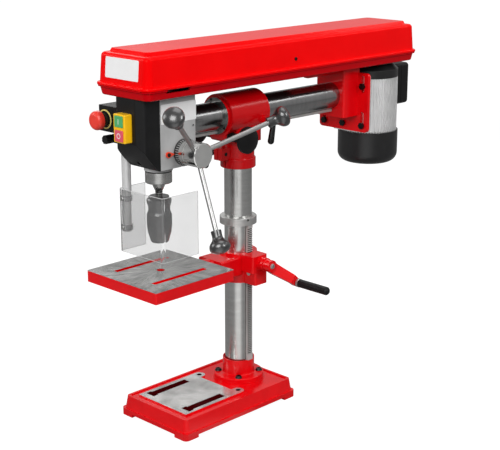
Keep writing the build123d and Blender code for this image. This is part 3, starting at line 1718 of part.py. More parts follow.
with BuildPart() as belt_tray:
    with BuildSketch(at_z(case_bottom)):
        with Locations((0, case_mid)):
            RectangleRounded(2 * case_half, case_length, case_corner)
    extrude(amount=case_depth, taper=-case_flare)
    fillet(belt_tray.faces().sort_by(Axis.Z)[0].edges(), 5)
    with BuildSketch(at_z(tray_top)):
        with Locations((0, case_mid)):
            RectangleRounded(
                2 * (case_half + tray_spread + flange_out),
                case_length + 2 * (tray_spread + flange_out),
                case_corner + tray_spread + flange_out,
            )
    extrude(amount=-case_wall)
    with BuildSketch(at_z(case_bottom + case_wall)):
        with Locations((0, case_mid)):
            RectangleRounded(
                2 * (case_half - 2 * case_wall),
                case_length - 4 * case_wall,
                case_corner - 2 * case_wall,
            )
    extrude(amount=case_depth, taper=-case_flare, mode=Mode.SUBTRACT)
    with BuildSketch(at_z(case_bottom)):
        with Locations((0, spindle_y)):
            Circle(pulley_hub_r + 2)
        with Locations((0, motor_y)):
            Circle(motor_shaft_r + 10)
    extrude(amount=2 * case_wall, mode=Mode.SUBTRACT)
    with BuildSketch(at_z(tray_top)):
        with Locations((case_half + tray_spread, finger_y)):
            Rectangle(4 * flange_out, finger_length)
    extrude(amount=-finger_drop, mode=Mode.SUBTRACT)
    for place in hinge_places:
        with BuildSketch(at_y(place + hinge_length / 2)):
            with Locations((hinge_x, hinge_z)):
                Circle(hinge_pin_r)
        extrude(amount=hinge_length)
        for end in (-1, 1):
            with BuildSketch(at_y(place + end * hinge_length / 3 + hinge_length / 6)):
                with Locations((hinge_x, hinge_z)):
                    Circle(hinge_r)
                with Locations((hinge_x + hinge_out, tray_top - case_wall / 2)):
                    Rectangle(2 * hinge_out, case_wall)
            extrude(amount=hinge_length / 3)
keep(belt_tray, "belt_tray")


def lid_form(inset, top):
    """The lid's drafted box, drawn in by inset and closed at the height top, with a round shoulder."""
    with BuildPart() as form:
        with BuildSketch(at_z(lid_bottom)):
            with Locations((0, case_mid)):
                RectangleRounded(
                    2 * (case_half + tray_spread - inset),
                    case_length + 2 * (tray_spread - inset),
                    case_corner + tray_spread - inset,
                )
        extrude(amount=top - lid_bottom, taper=lid_draft)
        fillet(form.faces().sort_by(Axis.Z)[-1].edges(), lid_shoulder)
    return form.part


lid_top = lid_bottom + lid_height
lid_deck = lid_top - lid_panel_rise
panel_in = (lid_deck - lid_bottom) * tan(radians(lid_draft)) + lid_panel_in - tray_spread
lid_outer = lid_form(0, lid_deck)
lid_inner = lid_form(case_wall, lid_deck - case_wall)
with BuildPart() as belt_lid:
    with BuildSketch(at_z(lid_bottom)):
        with Locations((0, case_mid)):
            RectangleRounded(
                2 * (case_half + tray_spread + flange_out + lid_lip_out / 2),
                case_length + 2 * (tray_spread + flange_out) + lid_lip_out,
                case_corner + tray_spread + flange_out,
            )
    extrude(amount=lid_lip_height)
    fillet(belt_lid.edges().group_by(Axis.Z)[-1] + belt_lid.edges().group_by(Axis.Z)[0], 0.4 * lid_lip_height)
    add(lid_outer)
    with BuildSketch(at_z(lid_deck - case_wall)):
        with Locations((0, case_mid)):
            RectangleRounded(2 * (case_half - panel_in), case_length - 2 * panel_in, lid_panel_corner)
    extrude(amount=lid_panel_rise + case_wall, taper=30)
    add(lid_inner, mode=Mode.SUBTRACT)
    with BuildSketch(at_z(lid_deck - case_wall)):
        with Locations((0, case_mid)):
            RectangleRounded(
                2 * (case_half - panel_in - case_wall),
                case_length - 2 * (panel_in + case_wall),
                lid_panel_corner - case_wall,
            )
    extrude(amount=lid_panel_rise, taper=30, mode=Mode.SUBTRACT)
    for place in hinge_places:
        with BuildSketch(at_y(place + hinge_length / 6 - gap)):
            with Locations((hinge_x, hinge_z)):
                Circle(hinge_r)
            with Locations((hinge_x + hinge_out / 2 + 2, lid_bottom + 1)):
                Rectangle(hinge_out + 4, 2)
            with Locations((hinge_x, hinge_z)):
                Circle(hinge_pin_r + run, mode=Mode.SUBTRACT)
        extrude(amount=hinge_length / 3 - 2 * gap)
keep(belt_lid, "belt_lid")

# Motor bracket: a casting that grips the ram's end and carries the motor's foot

plate_back = bracket_plate_y + bracket_plate
bolt_places = [
    (-bracket_slot_x, bracket_bolt_low),
    (0, bracket_bolt_low),
    (bracket_slot_x, bracket_bolt_low),
    (-bracket_slot_x, bracket_bolt_high),
    (bracket_slot_x, bracket_bolt_high),
]
with BuildPart() as motor_bracket:
    with BuildSketch(at_y(plate_back)):
        with Locations((0, bracket_plate_bottom + bracket_plate_height / 2)):
            RectangleRounded(2 * bracket_plate_half, bracket_plate_height, bracket_plate_corner)
        with Locations((0, (bracket_slot_low + bracket_slot_high) / 2)):
            with GridLocations(2 * bracket_slot_x, bracket_slot_high - bracket_slot_low, 2, 2):
                SlotOverall(bracket_slot_length, 2 * bracket_slot_r, rotation=90, mode=Mode.SUBTRACT)
        with Locations((0, bracket_bolt_low)):
            Circle(bracket_slot_r, mode=Mode.SUBTRACT)
    extrude(amount=bracket_plate)
    with BuildSketch(at_z(bracket_block_bottom)):
        with Locations((0, (bracket_face + plate_back) / 2)):
            RectangleRounded(2 * bracket_block_half, plate_back - bracket_face, bracket_block_corner)
    extrude(amount=case_bottom - bracket_block_bottom)
    with BuildSketch(at_x(-bracket_web_half)):
        with BuildLine():
            web_front = bracket_flange_front + bracket_web_in
            web_low = ram_z + barrel_r + bracket_web_clear
            Polyline(
                (bracket_plate_y, bracket_web_foot),
                (bracket_plate_y, case_bottom - bracket_flange),
                (web_front, case_bottom - bracket_flange),
                (web_front + bracket_web_slope, web_low),
                (bracket_face, web_low),
                (bracket_face, bracket_block_bottom),
                close=True,
            )
        make_face()
    extrude(amount=2 * bracket_web_half)
    with BuildSketch(at_z(case_bottom)):
        with Locations((0, (plate_back + bracket_flange_front) / 2)):
            Rectangle(2 * bracket_flange_half, plate_back - bracket_flange_front)
    extrude(amount=-bracket_flange)
    with BuildSketch(at_y(bracket_plate_y)):
        with Locations((0, ram_z)):
            Circle(ram_r)
    extrude(amount=bracket_plate_y - bracket_flange_front, mode=Mode.SUBTRACT)
keep(motor_bracket, "motor_bracket")

foot_back = plate_back + motor_foot
with BuildPart() as bracket_bolts:
    with BuildSketch(at_y(foot_back)):
        with Locations(*bolt_places):
            Circle(bracket_bolt_r)
    extrude(amount=foot_back - bracket_plate_y)
    with BuildSketch(at_y(bracket_plate_y)):
        with Locations(*bolt_places):
            RegularPolygon(bracket_head_r, 6)
    extrude(amount=bracket_head)
    with BuildSketch(at_y(foot_back)):
        with Locations(*bolt_places):
            RegularPolygon(bracket_head_r, 6)
    extrude(amount=-bracket_head)
keep(bracket_bolts, "bracket_bolts")

# Motor: finned body with its foot, end bell, fan cover, stator and rotor

motor_top = motor_bottom + motor_height
motor_out = motor_r + motor_fin
with BuildPart() as motor_body:
    with BuildSketch(at_z(motor_bottom)):
        with Locations((0, motor_y)):
            Circle(motor_r)
            with PolarLocations(motor_r, motor_fins):
                Rectangle(2 * motor_fin, 0.7 * pi * motor_r / motor_fins)
            Circle(motor_out, mode=Mode.INTERSECT)
    extrude(amount=motor_height)
    with BuildSketch(at_y(motor_y - motor_r + motor_fin)):
        with Locations((0, motor_bottom + motor_height / 2)):
            Rectangle(1.1 * motor_r, 0.9 * motor_height)
    extrude(amount=motor_y - motor_r + motor_fin - plate_back)
    with BuildSketch(at_z(motor_bottom + end_shield)):
        with Locations((0, motor_y)):
            Circle(stator_r)
    extrude(amount=motor_height - end_shield, mode=Mode.SUBTRACT)
    with BuildSketch(at_z(motor_bottom)):
        with Locations((0, motor_y)):
            Circle(motor_shaft_r + run)
    extrude(amount=end_shield, mode=Mode.SUBTRACT)
    with BuildSketch(at_y(plate_back)):
        with Locations((0, bracket_bolt_low)):
            Circle(bracket_head_r + 2)
    extrude(amount=-bracket_head - motor_foot - 2, mode=Mode.SUBTRACT)
    with BuildSketch(at_y(foot_back)):
        with Locations((0, bracket_plate_bottom + 4 + motor_foot_height / 2)):
            RectangleRounded(2 * motor_foot_half, motor_foot_height, 6)
        with Locations(*bolt_places):
            Circle(bracket_bolt_r, mode=Mode.SUBTRACT)
    extrude(amount=motor_foot)
keep(motor_body, "motor_body")

with BuildPart() as motor_bell:
    with BuildSketch(motor_view):
        with BuildLine():
            Polyline(
                (motor_shaft_r + run, motor_top),
                (motor_out, motor_top),
                (motor_out, motor_top + 0.6 * bell_height),
                (0.8 * motor_out, motor_top + bell_height),
                (motor_shaft_r + run, motor_top + bell_height),
                close=True,
            )
        make_face()
    revolve(axis=motor_axis)
keep(motor_bell, "motor_bell")

with BuildPart() as fan_cover:
    with BuildSketch(at_z(motor_bottom)):
        with Locations((0, motor_y)):
            Circle(fan_cover_r)
    extrude(amount=-fan_cover_height)
    fillet(fan_cover.faces().sort_by(Axis.Z)[0].edges(), 0.3 * fan_cover_height)
    with BuildSketch(at_z(motor_bottom - fan_cover_wall)):
        with Locations((0, motor_y)):
            Circle(fan_cover_r - fan_cover_wall)
    extrude(amount=-(0.7 * fan_cover_height - fan_cover_wall), mode=Mode.SUBTRACT)
    with BuildSketch(at_z(motor_bottom - 0.7 * fan_cover_height)):
        with Locations((0, motor_y)):
            Circle(fan_cover_r - 0.3 * fan_cover_height)
    extrude(amount=-(0.3 * fan_cover_height - fan_cover_wall), mode=Mode.SUBTRACT)
    with BuildSketch(at_z(motor_bottom)):
        with Locations((0, motor_y)):
            Circle(motor_r - 4)
    extrude(amount=-fan_cover_wall, mode=Mode.SUBTRACT)
    with BuildSketch(at_z(motor_bottom - fan_cover_height)):
        with Locations((0, motor_y)):
            with PolarLocations(0.4 * fan_cover_r, 10):
                SlotOverall(0.38 * fan_cover_r, 6)
    extrude(amount=2 * fan_cover_wall, mode=Mode.SUBTRACT)
keep(fan_cover, "fan_cover")

stator_bottom = motor_bottom + end_shield + (motor_height - end_shield - stator_height) / 2
with BuildPart() as stator:
    with BuildSketch(at_z(stator_bottom)):
        with Locations((0, motor_y)):
            Circle(stator_r)
            Circle(rotor_r + slide_gap, mode=Mode.SUBTRACT)
    extrude(amount=stator_height)
keep(stator, "stator")

fan_z = motor_bottom - 0.5 * fan_cover_height
with BuildPart() as rotor:
    with BuildSketch(at_z(stator_bottom)):
        with Locations((0, motor_y)):
            Circle(rotor_r)
    extrude(amount=stator_height)
    with BuildSketch(at_z(fan_z - 4)):
        with Locations((0, motor_y)):
            Circle(motor_shaft_r)
    extrude(amount=pulley_top - fan_z + 4)
    with BuildSketch(at_z(fan_z)):
        with Locations((0, motor_y)):
            Circle(0.75 * fan_cover_r)
    extrude(amount=3)
    with BuildSketch(at_z(fan_z)):
        with Locations((0, motor_y)):
            with PolarLocations(0.5 * fan_cover_r, 8):
                Rectangle(0.45 * fan_cover_r, 3)
    extrude(amount=0.2 * fan_cover_height)
keep(rotor, "rotor")

with BuildPart() as terminal_box:
    with BuildSketch(at_z(box_bottom)):
        with Locations((0, (motor_y + box_back) / 2)):
            Rectangle(2 * box_half, box_back - motor_y)
    extrude(amount=box_height)
    fillet(terminal_box.edges().filter_by(Axis.Z).group_by(Axis.Y)[-1], box_corner)
    fillet(terminal_box.faces().sort_by(Axis.Z)[0].edges(), box_edge)
    fillet(terminal_box.faces().sort_by(Axis.Z)[-1].edges(), box_edge)
    with BuildSketch(at_z(box_bottom)):
        with Locations((0, motor_y)):
            Circle(motor_out)
    extrude(amount=box_height, mode=Mode.SUBTRACT)
    with BuildSketch(at_y(box_seam_y)):
        with Locations((0, box_bottom + box_height / 2)):
            Rectangle(2 * box_half, box_height)
            Rectangle(2 * (box_half - box_seam), box_height - 2 * box_seam, mode=Mode.SUBTRACT)
    extrude(amount=box_seam, mode=Mode.SUBTRACT)
keep(terminal_box, "terminal_box")
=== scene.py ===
# %% [markdown]
# # A radial bench drilling machine
#
# The solids of this machine come from CAD, already in their places and in metres.
# This lesson dresses them: it gives every casting, tube and moulding its real finish,
# and adds the small things that a solid model leaves out, such as screws and marks.

import bpy
import numpy as np
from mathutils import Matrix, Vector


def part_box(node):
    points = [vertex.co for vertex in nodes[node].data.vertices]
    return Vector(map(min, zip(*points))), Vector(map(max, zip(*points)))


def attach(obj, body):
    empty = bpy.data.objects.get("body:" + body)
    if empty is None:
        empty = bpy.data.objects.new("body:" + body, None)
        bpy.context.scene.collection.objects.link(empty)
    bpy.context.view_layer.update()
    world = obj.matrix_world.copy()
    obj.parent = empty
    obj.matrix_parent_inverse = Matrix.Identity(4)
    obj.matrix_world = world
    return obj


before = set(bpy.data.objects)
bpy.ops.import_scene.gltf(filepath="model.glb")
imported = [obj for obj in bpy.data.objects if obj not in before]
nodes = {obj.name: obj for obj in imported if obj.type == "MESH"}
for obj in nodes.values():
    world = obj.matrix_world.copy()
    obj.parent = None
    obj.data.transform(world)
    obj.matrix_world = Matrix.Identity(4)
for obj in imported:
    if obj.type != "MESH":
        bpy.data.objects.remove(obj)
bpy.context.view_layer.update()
print(len(nodes), "solids loaded")

# %% [markdown]
# ## Soft edges on the solids
#
# A CAD solid arrives as loose triangles, so a cylinder shows its facets.
# Shading the faces smooth would also smear the sharp corners of a block.
# A Weld joins the triangles, a narrow Bevel breaks the corners as a file or a mould does,
# and Edge Split keeps what is still sharp. Weighted Normal then lets the large faces
# decide the shading, so that flat faces look flat and light runs along each edge.
# Teeth, springs and other thin shapes get no bevel, and castings get a wider one.

# %% Smooth the solids
MM = 0.001
WELD_MM = 0.004
SHARP = np.radians(32)
EDGE_MM = 0.4
OTHER_EDGES_MM = {
    "chuck_jaw_1": 0, "chuck_jaw_2": 0, "chuck_jaw_3": 0, "return_spring": 0, "quill_bearings": 0,
    "drive_belt": 0, "ram_rack": 0, "column_rack": 0, "lift_gear": 0, "ram_pinion": 0, "feed_shaft": 0,
    "spindle": 0.2, "head_casting": 0.8, "base": 0.8, "table": 0.8,
    "head_support": 1.0, "motor_bracket": 1.0, "table_bracket": 1.2,
}


def soften(thing, edge_mm):
    """Joins the triangles, breaks edges sharper than SHARP by edge_mm and shades the rest smooth."""
    faces = thing.data.polygons
    faces.foreach_set("use_smooth", np.ones(len(faces), bool))
    weld = thing.modifiers.new("join", "WELD")
    weld.merge_threshold = WELD_MM * MM
    if edge_mm:
        bevel = thing.modifiers.new("broken edge", "BEVEL")
        bevel.width = edge_mm * MM
        bevel.segments = 2
        bevel.limit_method = "ANGLE"
        bevel.angle_limit = SHARP
        bevel.use_clamp_overlap = True
    split = thing.modifiers.new("keep corners", "EDGE_SPLIT")
    split.split_angle = SHARP
    split.use_edge_sharp = False
    level = thing.modifiers.new("flat faces", "WEIGHTED_NORMAL")
    level.weight = 50
    level.keep_sharp = False


for name, thing in nodes.items():
    soften(thing, OTHER_EDGES_MM.get(name, EDGE_MM))
print("edges softened on", len(nodes), "solids")

# %% [markdown]
# ## One way to add a shader node
#
# Every finish below is a small graph of nodes. It could be wired by hand in the Shader Editor,
# but code repeats it without slips. One function adds a node with its settings, sets its inputs
# or links them, and returns it, so each finish reads as a short list.
# Colours are written as hex codes, which are sRGB, and the shader wants linear light.

# %% Colour and node helpers


def ink(code):
    """An sRGB hex colour as linear RGBA: c / 12.92 below 0.04045, else ((c + 0.055) / 1.055) ^ 2.4."""
    shares = np.array([int(code[i:i + 2], 16) / 255 for i in (1, 3, 5)])
    linear = np.where(shares <= 0.04045, shares / 12.92, ((shares + 0.055) / 1.055) ** 2.4)
    return (*map(float, linear), 1.0)


def add(tree, kind, inputs=None, **settings):
    """Adds a node, applies its settings, and fills inputs with values or with sockets to link."""
    made = tree.nodes.new(kind)
    for name, value in settings.items():
        setattr(made, name, value)
    for name, value in (inputs or {}).items():
        if isinstance(value, bpy.types.NodeSocket):
            tree.links.new(value, made.inputs[name])
        else:
            made.inputs[name].default_value = value
    return made


def finish(name, **surface):
    """A new material with even values on its shader; also its tree, shader and Object coordinates."""
    made = bpy.data.materials.new(name)
    made.use_nodes = True
    tree = made.node_tree
    tree.nodes.clear()
    even = {key.replace("_", " "): value for key, value in surface.items()}
    shader = add(tree, "ShaderNodeBsdfPrincipled", even)
    add(tree, "ShaderNodeOutputMaterial", {"Surface": shader.outputs[0]})
    place = add(tree, "ShaderNodeTexCoord").outputs["Object"]
    return made, tree, shader, place


print("colour and node helpers ready")

# %% [markdown]
# ## Clouds, skins, masks and marks
#
# No real surface has one even colour, so each finish starts with clouds between two shades.
# A skin is the relief that sand, mould or spray gun left, with a shine that changes with it.
# A mask is 1 inside a box of coordinates and 0 outside it, and a mark is a second colour
# where masks are 1. Pictures could do all this, but they need unwrapped faces. Noise and
# boxes in Object coordinates don't, and their sizes are millimetres on the real machine.

# %% Clouds and skins
CLOUD_SPAN = (0.3, 0.7)


def cloud(tree, shader, place, dark, light, size_mm, stretch=(1, 1, 1), detail=3.0, rough=None):
    """Colour from dark to light in noise of size_mm, drawn out along an axis whose stretch is small.

    Where rough gives two values, the roughness goes from the first to the second with the same noise.
    """
    drawn = add(tree, "ShaderNodeMapping", {"Vector": place, "Scale": stretch}).outputs[0]
    sizes = {"Vector": drawn, "Scale": 1 / (size_mm * MM), "Detail": detail}
    noise = add(tree, "ShaderNodeTexNoise", sizes).outputs["Fac"]
    ramp = add(tree, "ShaderNodeValToRGB", {"Fac": noise})
    for stop, at, code in zip(ramp.color_ramp.elements, CLOUD_SPAN, (dark, light)):
        stop.position, stop.color = at, ink(code)
    tree.links.new(ramp.outputs[0], shader.inputs["Base Color"])
    if rough:
        spread = add(tree, "ShaderNodeMapRange", {"Value": noise, "To Min": rough[0], "To Max": rough[1]})
        tree.links.new(spread.outputs[0], shader.inputs["Roughness"])


def skin(tree, shader, place, lump_mm, depth_mm, detail=1.0, strength=1.0, rough=None):
    """Relief depth_mm deep in noise of lump_mm; rough gives the roughness of hollows and of tops."""
    sizes = {"Vector": place, "Scale": 1 / (lump_mm * MM), "Detail": detail}
    lumps = add(tree, "ShaderNodeTexNoise", sizes).outputs["Fac"]
    bump = add(tree, "ShaderNodeBump", {"Height": lumps, "Distance": depth_mm * MM, "Strength": strength})
    tree.links.new(bump.outputs[0], shader.inputs["Normal"])
    if rough:
        spread = add(tree, "ShaderNodeMapRange", {"Value": lumps, "To Min": rough[0], "To Max": rough[1]})
        tree.links.new(spread.outputs[0], shader.inputs["Roughness"])


print("clouds and skins ready")

# %% Masks and marks


def inside(tree, vector, unit=MM, **spans):
    """A mask: 1 where each named axis of a vector is between its low and high, None for an open end."""
    parts = add(tree, "ShaderNodeSeparateXYZ", {0: vector}).outputs
    mask = 1.0
    for axis, (low, high) in spans.items():
        for level, test in ((low, "GREATER_THAN"), (high, "LESS_THAN")):
            if level is not None:
                side = {0: parts[axis], 1: level * unit}
                side = add(tree, "ShaderNodeMath", side, operation=test).outputs[0]
                mask = add(tree, "ShaderNodeMath", {0: mask, 1: side}, operation="MULTIPLY").outputs[0]
    return mask


def mark(tree, shader, code, *masks):
    """Puts a second colour on the shader where the product of the masks is 1."""
    where = masks[0]
    for mask in masks[1:]:
        where = add(tree, "ShaderNodeMath", {0: where, 1: mask}, operation="MULTIPLY").outputs[0]
    under = shader.inputs["Base Color"].links[0].from_socket
    mixed = add(tree, "ShaderNodeMix", {0: where, 6: under, 7: ink(code)}, data_type="RGBA")
    tree.links.new(mixed.outputs[2], shader.inputs["Base Color"])


print("masks and marks ready")

# %% [markdown]
# ## Red enamel
#
# The pressed belt case and the castings share one signal red, stoved on.
# One flat glossy red would look like a toy. On pressed sheet the enamel flows out smooth,
# with a faint orange peel of about 2 mm, and its shine is a little warm.
# The tray below the lid is painted a darker red, as painted shade under the lid. Its underside is drawn
# nearly black, to match the shade in the photograph, so it stays dark in other light too. The real face
# may be plain red.

# %% Red enamel on pressed steel
TRAY_TOP_Z = 850.15
FLAT = 0.9

sheet_red, tree, shader, place = finish(
    "red enamel on pressed steel", Roughness=0.2, Specular_IOR_Level=0.1, Specular_Tint=ink("#FFD8C4"))
cloud(tree, shader, place, "#EC0004", "#F40206", size_mm=90)
skin(tree, shader, place, lump_mm=2.2, depth_mm=0.02)
tray = inside(tree, place, Z=(None, TRAY_TOP_Z))
# Painted shade: the tray is drawn a darker red than the lid
mark(tree, shader, "#C8000E", tray)
normal = add(tree, "ShaderNodeNewGeometry").outputs["True Normal"]
mark(tree, shader, "#3A0A0A", tray, inside(tree, normal, unit=1, Z=(None, -FLAT)))
print("made", sheet_red.name)

# %% [markdown]
# ## Red castings with machined faces
#
# The table, the base and the support are painted castings. The paint follows the sand's lumps
# of about 5 mm, so the shine breaks up. The faces that carry work were milled afterwards and
# stay bare. They could be split off as faces with a material of their own, but paint and iron
# meet at a plane, so a mask on Object coordinates chooses between the two looks.
# The cutter leaves marks that fan out from a middle: noise that is read along the direction
# from that middle, with a slow drift outwards, paints them as pale and dark streaks, partly tool marks
# and partly a painted sheen.

# %% Cast paint


def cast_red(name, paint=("#DC020C", "#EA040E")):
    """Enamel on a sand casting, in clouds of 60 mm over lumps of 5 mm."""
    made, tree, shader, place = finish(name, Specular_IOR_Level=0.3)
    cloud(tree, shader, place, *paint, size_mm=60)
    skin(tree, shader, place, lump_mm=5.0, depth_mm=0.1, detail=3.0, strength=0.5, rough=(0.14, 0.24))
    return made, tree, shader, place


casting_red = cast_red("red enamel on cast iron")[0]
print("made", casting_red.name)

# %% Milled iron
FAN_SCALE, FAN_DRIFT, FAN_SHARE = 5.0, 4.0, 0.72
IRON_CLOUD_MM, IRON_SPAN, IRON_METALLIC = 60, (0.34, 0.66), 0.75


def mill(tree, shader, place, bare, iron, fanned=FAN_SHARE, middle_mm=(0, 0)):
    """Bare iron where the mask is 1: clouds, and by the share fanned, marks round a middle in x and y.

    The marks are noise at d + FAN_DRIFT o, with o the level offset from the middle and d its direction.
    """
    middle = (middle_mm[0] * MM, middle_mm[1] * MM, 0)
    # The fanned streaks are tool marks and partly a painted sheen
    spoke = add(tree, "ShaderNodeVectorMath", {0: place, 1: middle}, operation="SUBTRACT").outputs[0]
    flat = add(tree, "ShaderNodeVectorMath", {0: spoke, 1: (1, 1, 0)}, operation="MULTIPLY").outputs[0]
    ray = add(tree, "ShaderNodeVectorMath", {0: flat}, operation="NORMALIZE").outputs[0]
    drift = add(tree, "ShaderNodeVectorMath", {0: flat, "Scale": FAN_DRIFT}, operation="SCALE").outputs[0]
    sweep = add(tree, "ShaderNodeVectorMath", {0: ray, 1: drift}, operation="ADD").outputs[0]
    strokes = {"Vector": sweep, "Scale": FAN_SCALE, "Detail": 5.0, "Roughness": 0.62}
    fan = add(tree, "ShaderNodeTexNoise", strokes).outputs["Fac"]
    sizes = {"Vector": place, "Scale": 1 / (IRON_CLOUD_MM * MM), "Detail": 4.0}
    clouds = add(tree, "ShaderNodeTexNoise", sizes).outputs["Fac"]
    cut = add(tree, "ShaderNodeMix", {0: fanned, 2: clouds, 3: fan}).outputs[0]
    metal = add(tree, "ShaderNodeValToRGB", {"Fac": cut})
    for stop, at, code in zip(metal.color_ramp.elements, IRON_SPAN, iron):
        stop.position, stop.color = at, ink(code)
    paint = shader.inputs["Base Color"].links[0].from_socket
    look = add(tree, "ShaderNodeMix", {0: bare, 6: paint, 7: metal.outputs[0]}, data_type="RGBA")
    tree.links.new(look.outputs[2], shader.inputs["Base Color"])
    metallic = add(tree, "ShaderNodeMath", {0: bare, 1: IRON_METALLIC}, operation="MULTIPLY")
    tree.links.new(metallic.outputs[0], shader.inputs["Metallic"])


print("milled faces are", IRON_METALLIC, "metallic")

# %% Table and support
TABLE_TOP_Z, TABLE_MIDDLE = 399.4, (0, -264)
NOSE_FACE_Y = -77.7

# The table's fan of marks is painted in pale and dark bands, partly tool marks and partly a painted
# sheen, and the turned nose is a darker grey
table_red, tree, shader, place = cast_red("red cast table with a milled top")
top = inside(tree, place, Z=(TABLE_TOP_Z, None))
mill(tree, shader, place, top, ("#747472", "#BEBEBC"), middle_mm=TABLE_MIDDLE)

# The support's red is painted darker than the other castings: painted shade from the lid above it
shaded_support_red, tree, shader, place = cast_red("red cast support in painted shade, with a turned nose", ("#C0020A", "#CC040C"))
nose = inside(tree, place, Y=(None, NOSE_FACE_Y))
mill(tree, shader, place, nose, ("#666664", "#8E8E8C"))
print("made", table_red.name, "and", shaded_support_red.name)

# %% Base, with dark insides of its slots and bench holes
PAD_Z, COLUMN_FOOT_R = 51.2, 70.0
EVEN_SHARE = 0.15 * FAN_SHARE
SLOT = {"x": 65.5, "y": -187.5, "half_x": 14.6, "half_y": 64.0, "shade": "#4A0206"}
BENCH_HOLE = {"x": 72.0, "y": -74.0, "half_x": 6.8, "half_y": 6.8, "shade": "#160406"}

# The plate is pale and nearly even. The insides of slots and holes are drawn darker than the paint,
# to match the shade in the photograph, and the real ones may be plain red
base_red, tree, shader, place = cast_red("red cast base with a milled plate")
level = add(tree, "ShaderNodeVectorMath", {0: place, 1: (1, 1, 0)}, operation="MULTIPLY").outputs[0]
reach = add(tree, "ShaderNodeVectorMath", {0: level}, operation="LENGTH").outputs["Value"]
clear = {0: reach, 1: COLUMN_FOOT_R * MM}
clear = add(tree, "ShaderNodeMath", clear, operation="GREATER_THAN").outputs[0]
pad = {0: inside(tree, place, Z=(PAD_Z, None)), 1: clear}
pad = add(tree, "ShaderNodeMath", pad, operation="MULTIPLY").outputs[0]
mill(tree, shader, place, pad, ("#AAAAA8", "#E6E6E4"), fanned=EVEN_SHARE)
for hole in (SLOT, BENCH_HOLE):
    along = (hole["y"] - hole["half_y"], hole["y"] + hole["half_y"])
    for x in (-hole["x"], hole["x"]):
        across = (x - hole["half_x"], x + hole["half_x"])
        mark(tree, shader, hole["shade"], inside(tree, place, X=across, Y=along, Z=(None, PAD_Z)))
print("made", base_red.name)

# %% [markdown]
# ## Steel and aluminium
#
# The column and the ram are drawn tubes, ground round, so their marks run round the axis.
# The rods are bright drawn bar and the chuck is blackened tool steel.
# All of them are metals: the colour tints the reflection and roughness spreads it.
# Grinding marks could be modelled or be an anisotropic shine. At this distance, noise that is
# drawn out along them is enough. A lower metallic value stands for a dull film on the metal,
# such as zinc, oil or oxide.

# %% Plain steels and aluminium
STEEL_SPREAD = 0.01


def turned(name, dark, light, rough, stretch=(1, 1, 1), size_mm=30.0, metallic=1.0):
    """Ground or turned metal: faint streaks across the axis whose stretch is large, and an even shine."""
    made, tree, shader, place = finish(name, Metallic=metallic)
    spread = (rough - STEEL_SPREAD, rough + STEEL_SPREAD)
    cloud(tree, shader, place, dark, light, size_mm, stretch, detail=2.0, rough=spread)
    return made


# The tubes and the quill show one soft bright line along the middle, the collar a wider one
column_steel = turned("ground steel tube", "#BEBEBC", "#C8C8C6", 0.24, (0.6, 0.6, 4.0))
# The ram's tube is drawn darker than the column's, as painted shade
ram_steel = turned("ground steel tube, lying, in painted shade", "#969696", "#A2A2A2", 0.22, (0.6, 4.0, 0.6))
quill_steel = turned("ground quill steel", "#B2B2B0", "#C0C0BE", 0.26, (0.7, 0.7, 4.0))
collar_steel = turned("turned grey iron", "#BEBEBC", "#CACAC8", 0.42, (0.8, 0.8, 3.0), 20.0)
# Bars and racks look a flat light grey, and oiled bolts and levers nearly black
rack_steel = turned("milled rack steel", "#B4B4B2", "#C2C2C0", 0.42, metallic=0.5)
rod_steel = turned("bright drawn bar", "#A2A2A1", "#ACACAB", 0.3, metallic=0.75)
zinc_steel = turned("zinc plated bar", "#D8D8D8", "#E2E2E2", 0.4, metallic=0.35)
dark_steel = turned("oiled black steel", "#262626", "#343434", 0.36, size_mm=8.0)
# The motor's extruded shell is pale and frosted, the pulleys are darker where the lathe cut them
motor_alloy = turned("extruded aluminium", "#F0F0F0", "#F8F8F8", 0.42, metallic=0.85)
pulley_alloy = turned("turned aluminium", "#A6A6A6", "#B2B2B2", 0.36, (0.8, 0.8, 4.0))
print("steels and aluminium made")

# %% Feed hub, polished round its side and faced dull at its end
hub_steel, tree, shader, place = finish("turned bright steel")
cloud(tree, shader, place, "#CECECC", "#DADAD8", size_mm=30, stretch=(4.0, 0.7, 0.7))
normal = add(tree, "ShaderNodeNewGeometry").outputs["True Normal"]
end = inside(tree, normal, unit=1, X=(FLAT, None))
for socket, on_side, on_end in (("Roughness", 0.15, 0.32), ("Metallic", 1.0, 0.85)):
    spread = add(tree, "ShaderNodeMapRange", {"Value": end, "To Min": on_side, "To Max": on_end})
    tree.links.new(spread.outputs[0], shader.inputs[socket])
print("made", hub_steel.name)

# %% Column rack with painted shade between its teeth
TOOTH_TIP_X, TOOTH_LAND = 43.5, 1.1
SIDEWAYS = 0.5

# The faces below the tooth tips are painted dark: painted shade between the teeth. The
# photograph shows dark gaps; that they are grease, and not only shade, is a guess
toothed_steel, tree, shader, place = finish("rack steel with painted shade between its teeth", Metallic=0.3, Roughness=0.42)
cloud(tree, shader, place, "#BCBCBA", "#C8C8C6", size_mm=30)
normal = add(tree, "ShaderNodeNewGeometry").outputs["True Normal"]
flanks = inside(tree, normal, unit=1, Y=(-SIDEWAYS, SIDEWAYS))
gaps = inside(tree, place, X=(None, TOOTH_TIP_X - TOOTH_LAND))
mark(tree, shader, "#2A2826", flanks, gaps)
print("made", toothed_steel.name)

# %% Spindle with two dark rings, and chuck with its black top disc
DARK_RINGS = ((594.5, 1.6), (589.0, 0.8))
CHUCK_DISC_Z = 578.2

spindle_steel, tree, shader, place = finish("ground spindle steel", Metallic=1.0, Roughness=0.26)
cloud(tree, shader, place, "#B2B2B0", "#C0C0BE", size_mm=12)
for level, half in DARK_RINGS:
    mark(tree, shader, "#141414", inside(tree, place, Z=(level - half, level + half)))

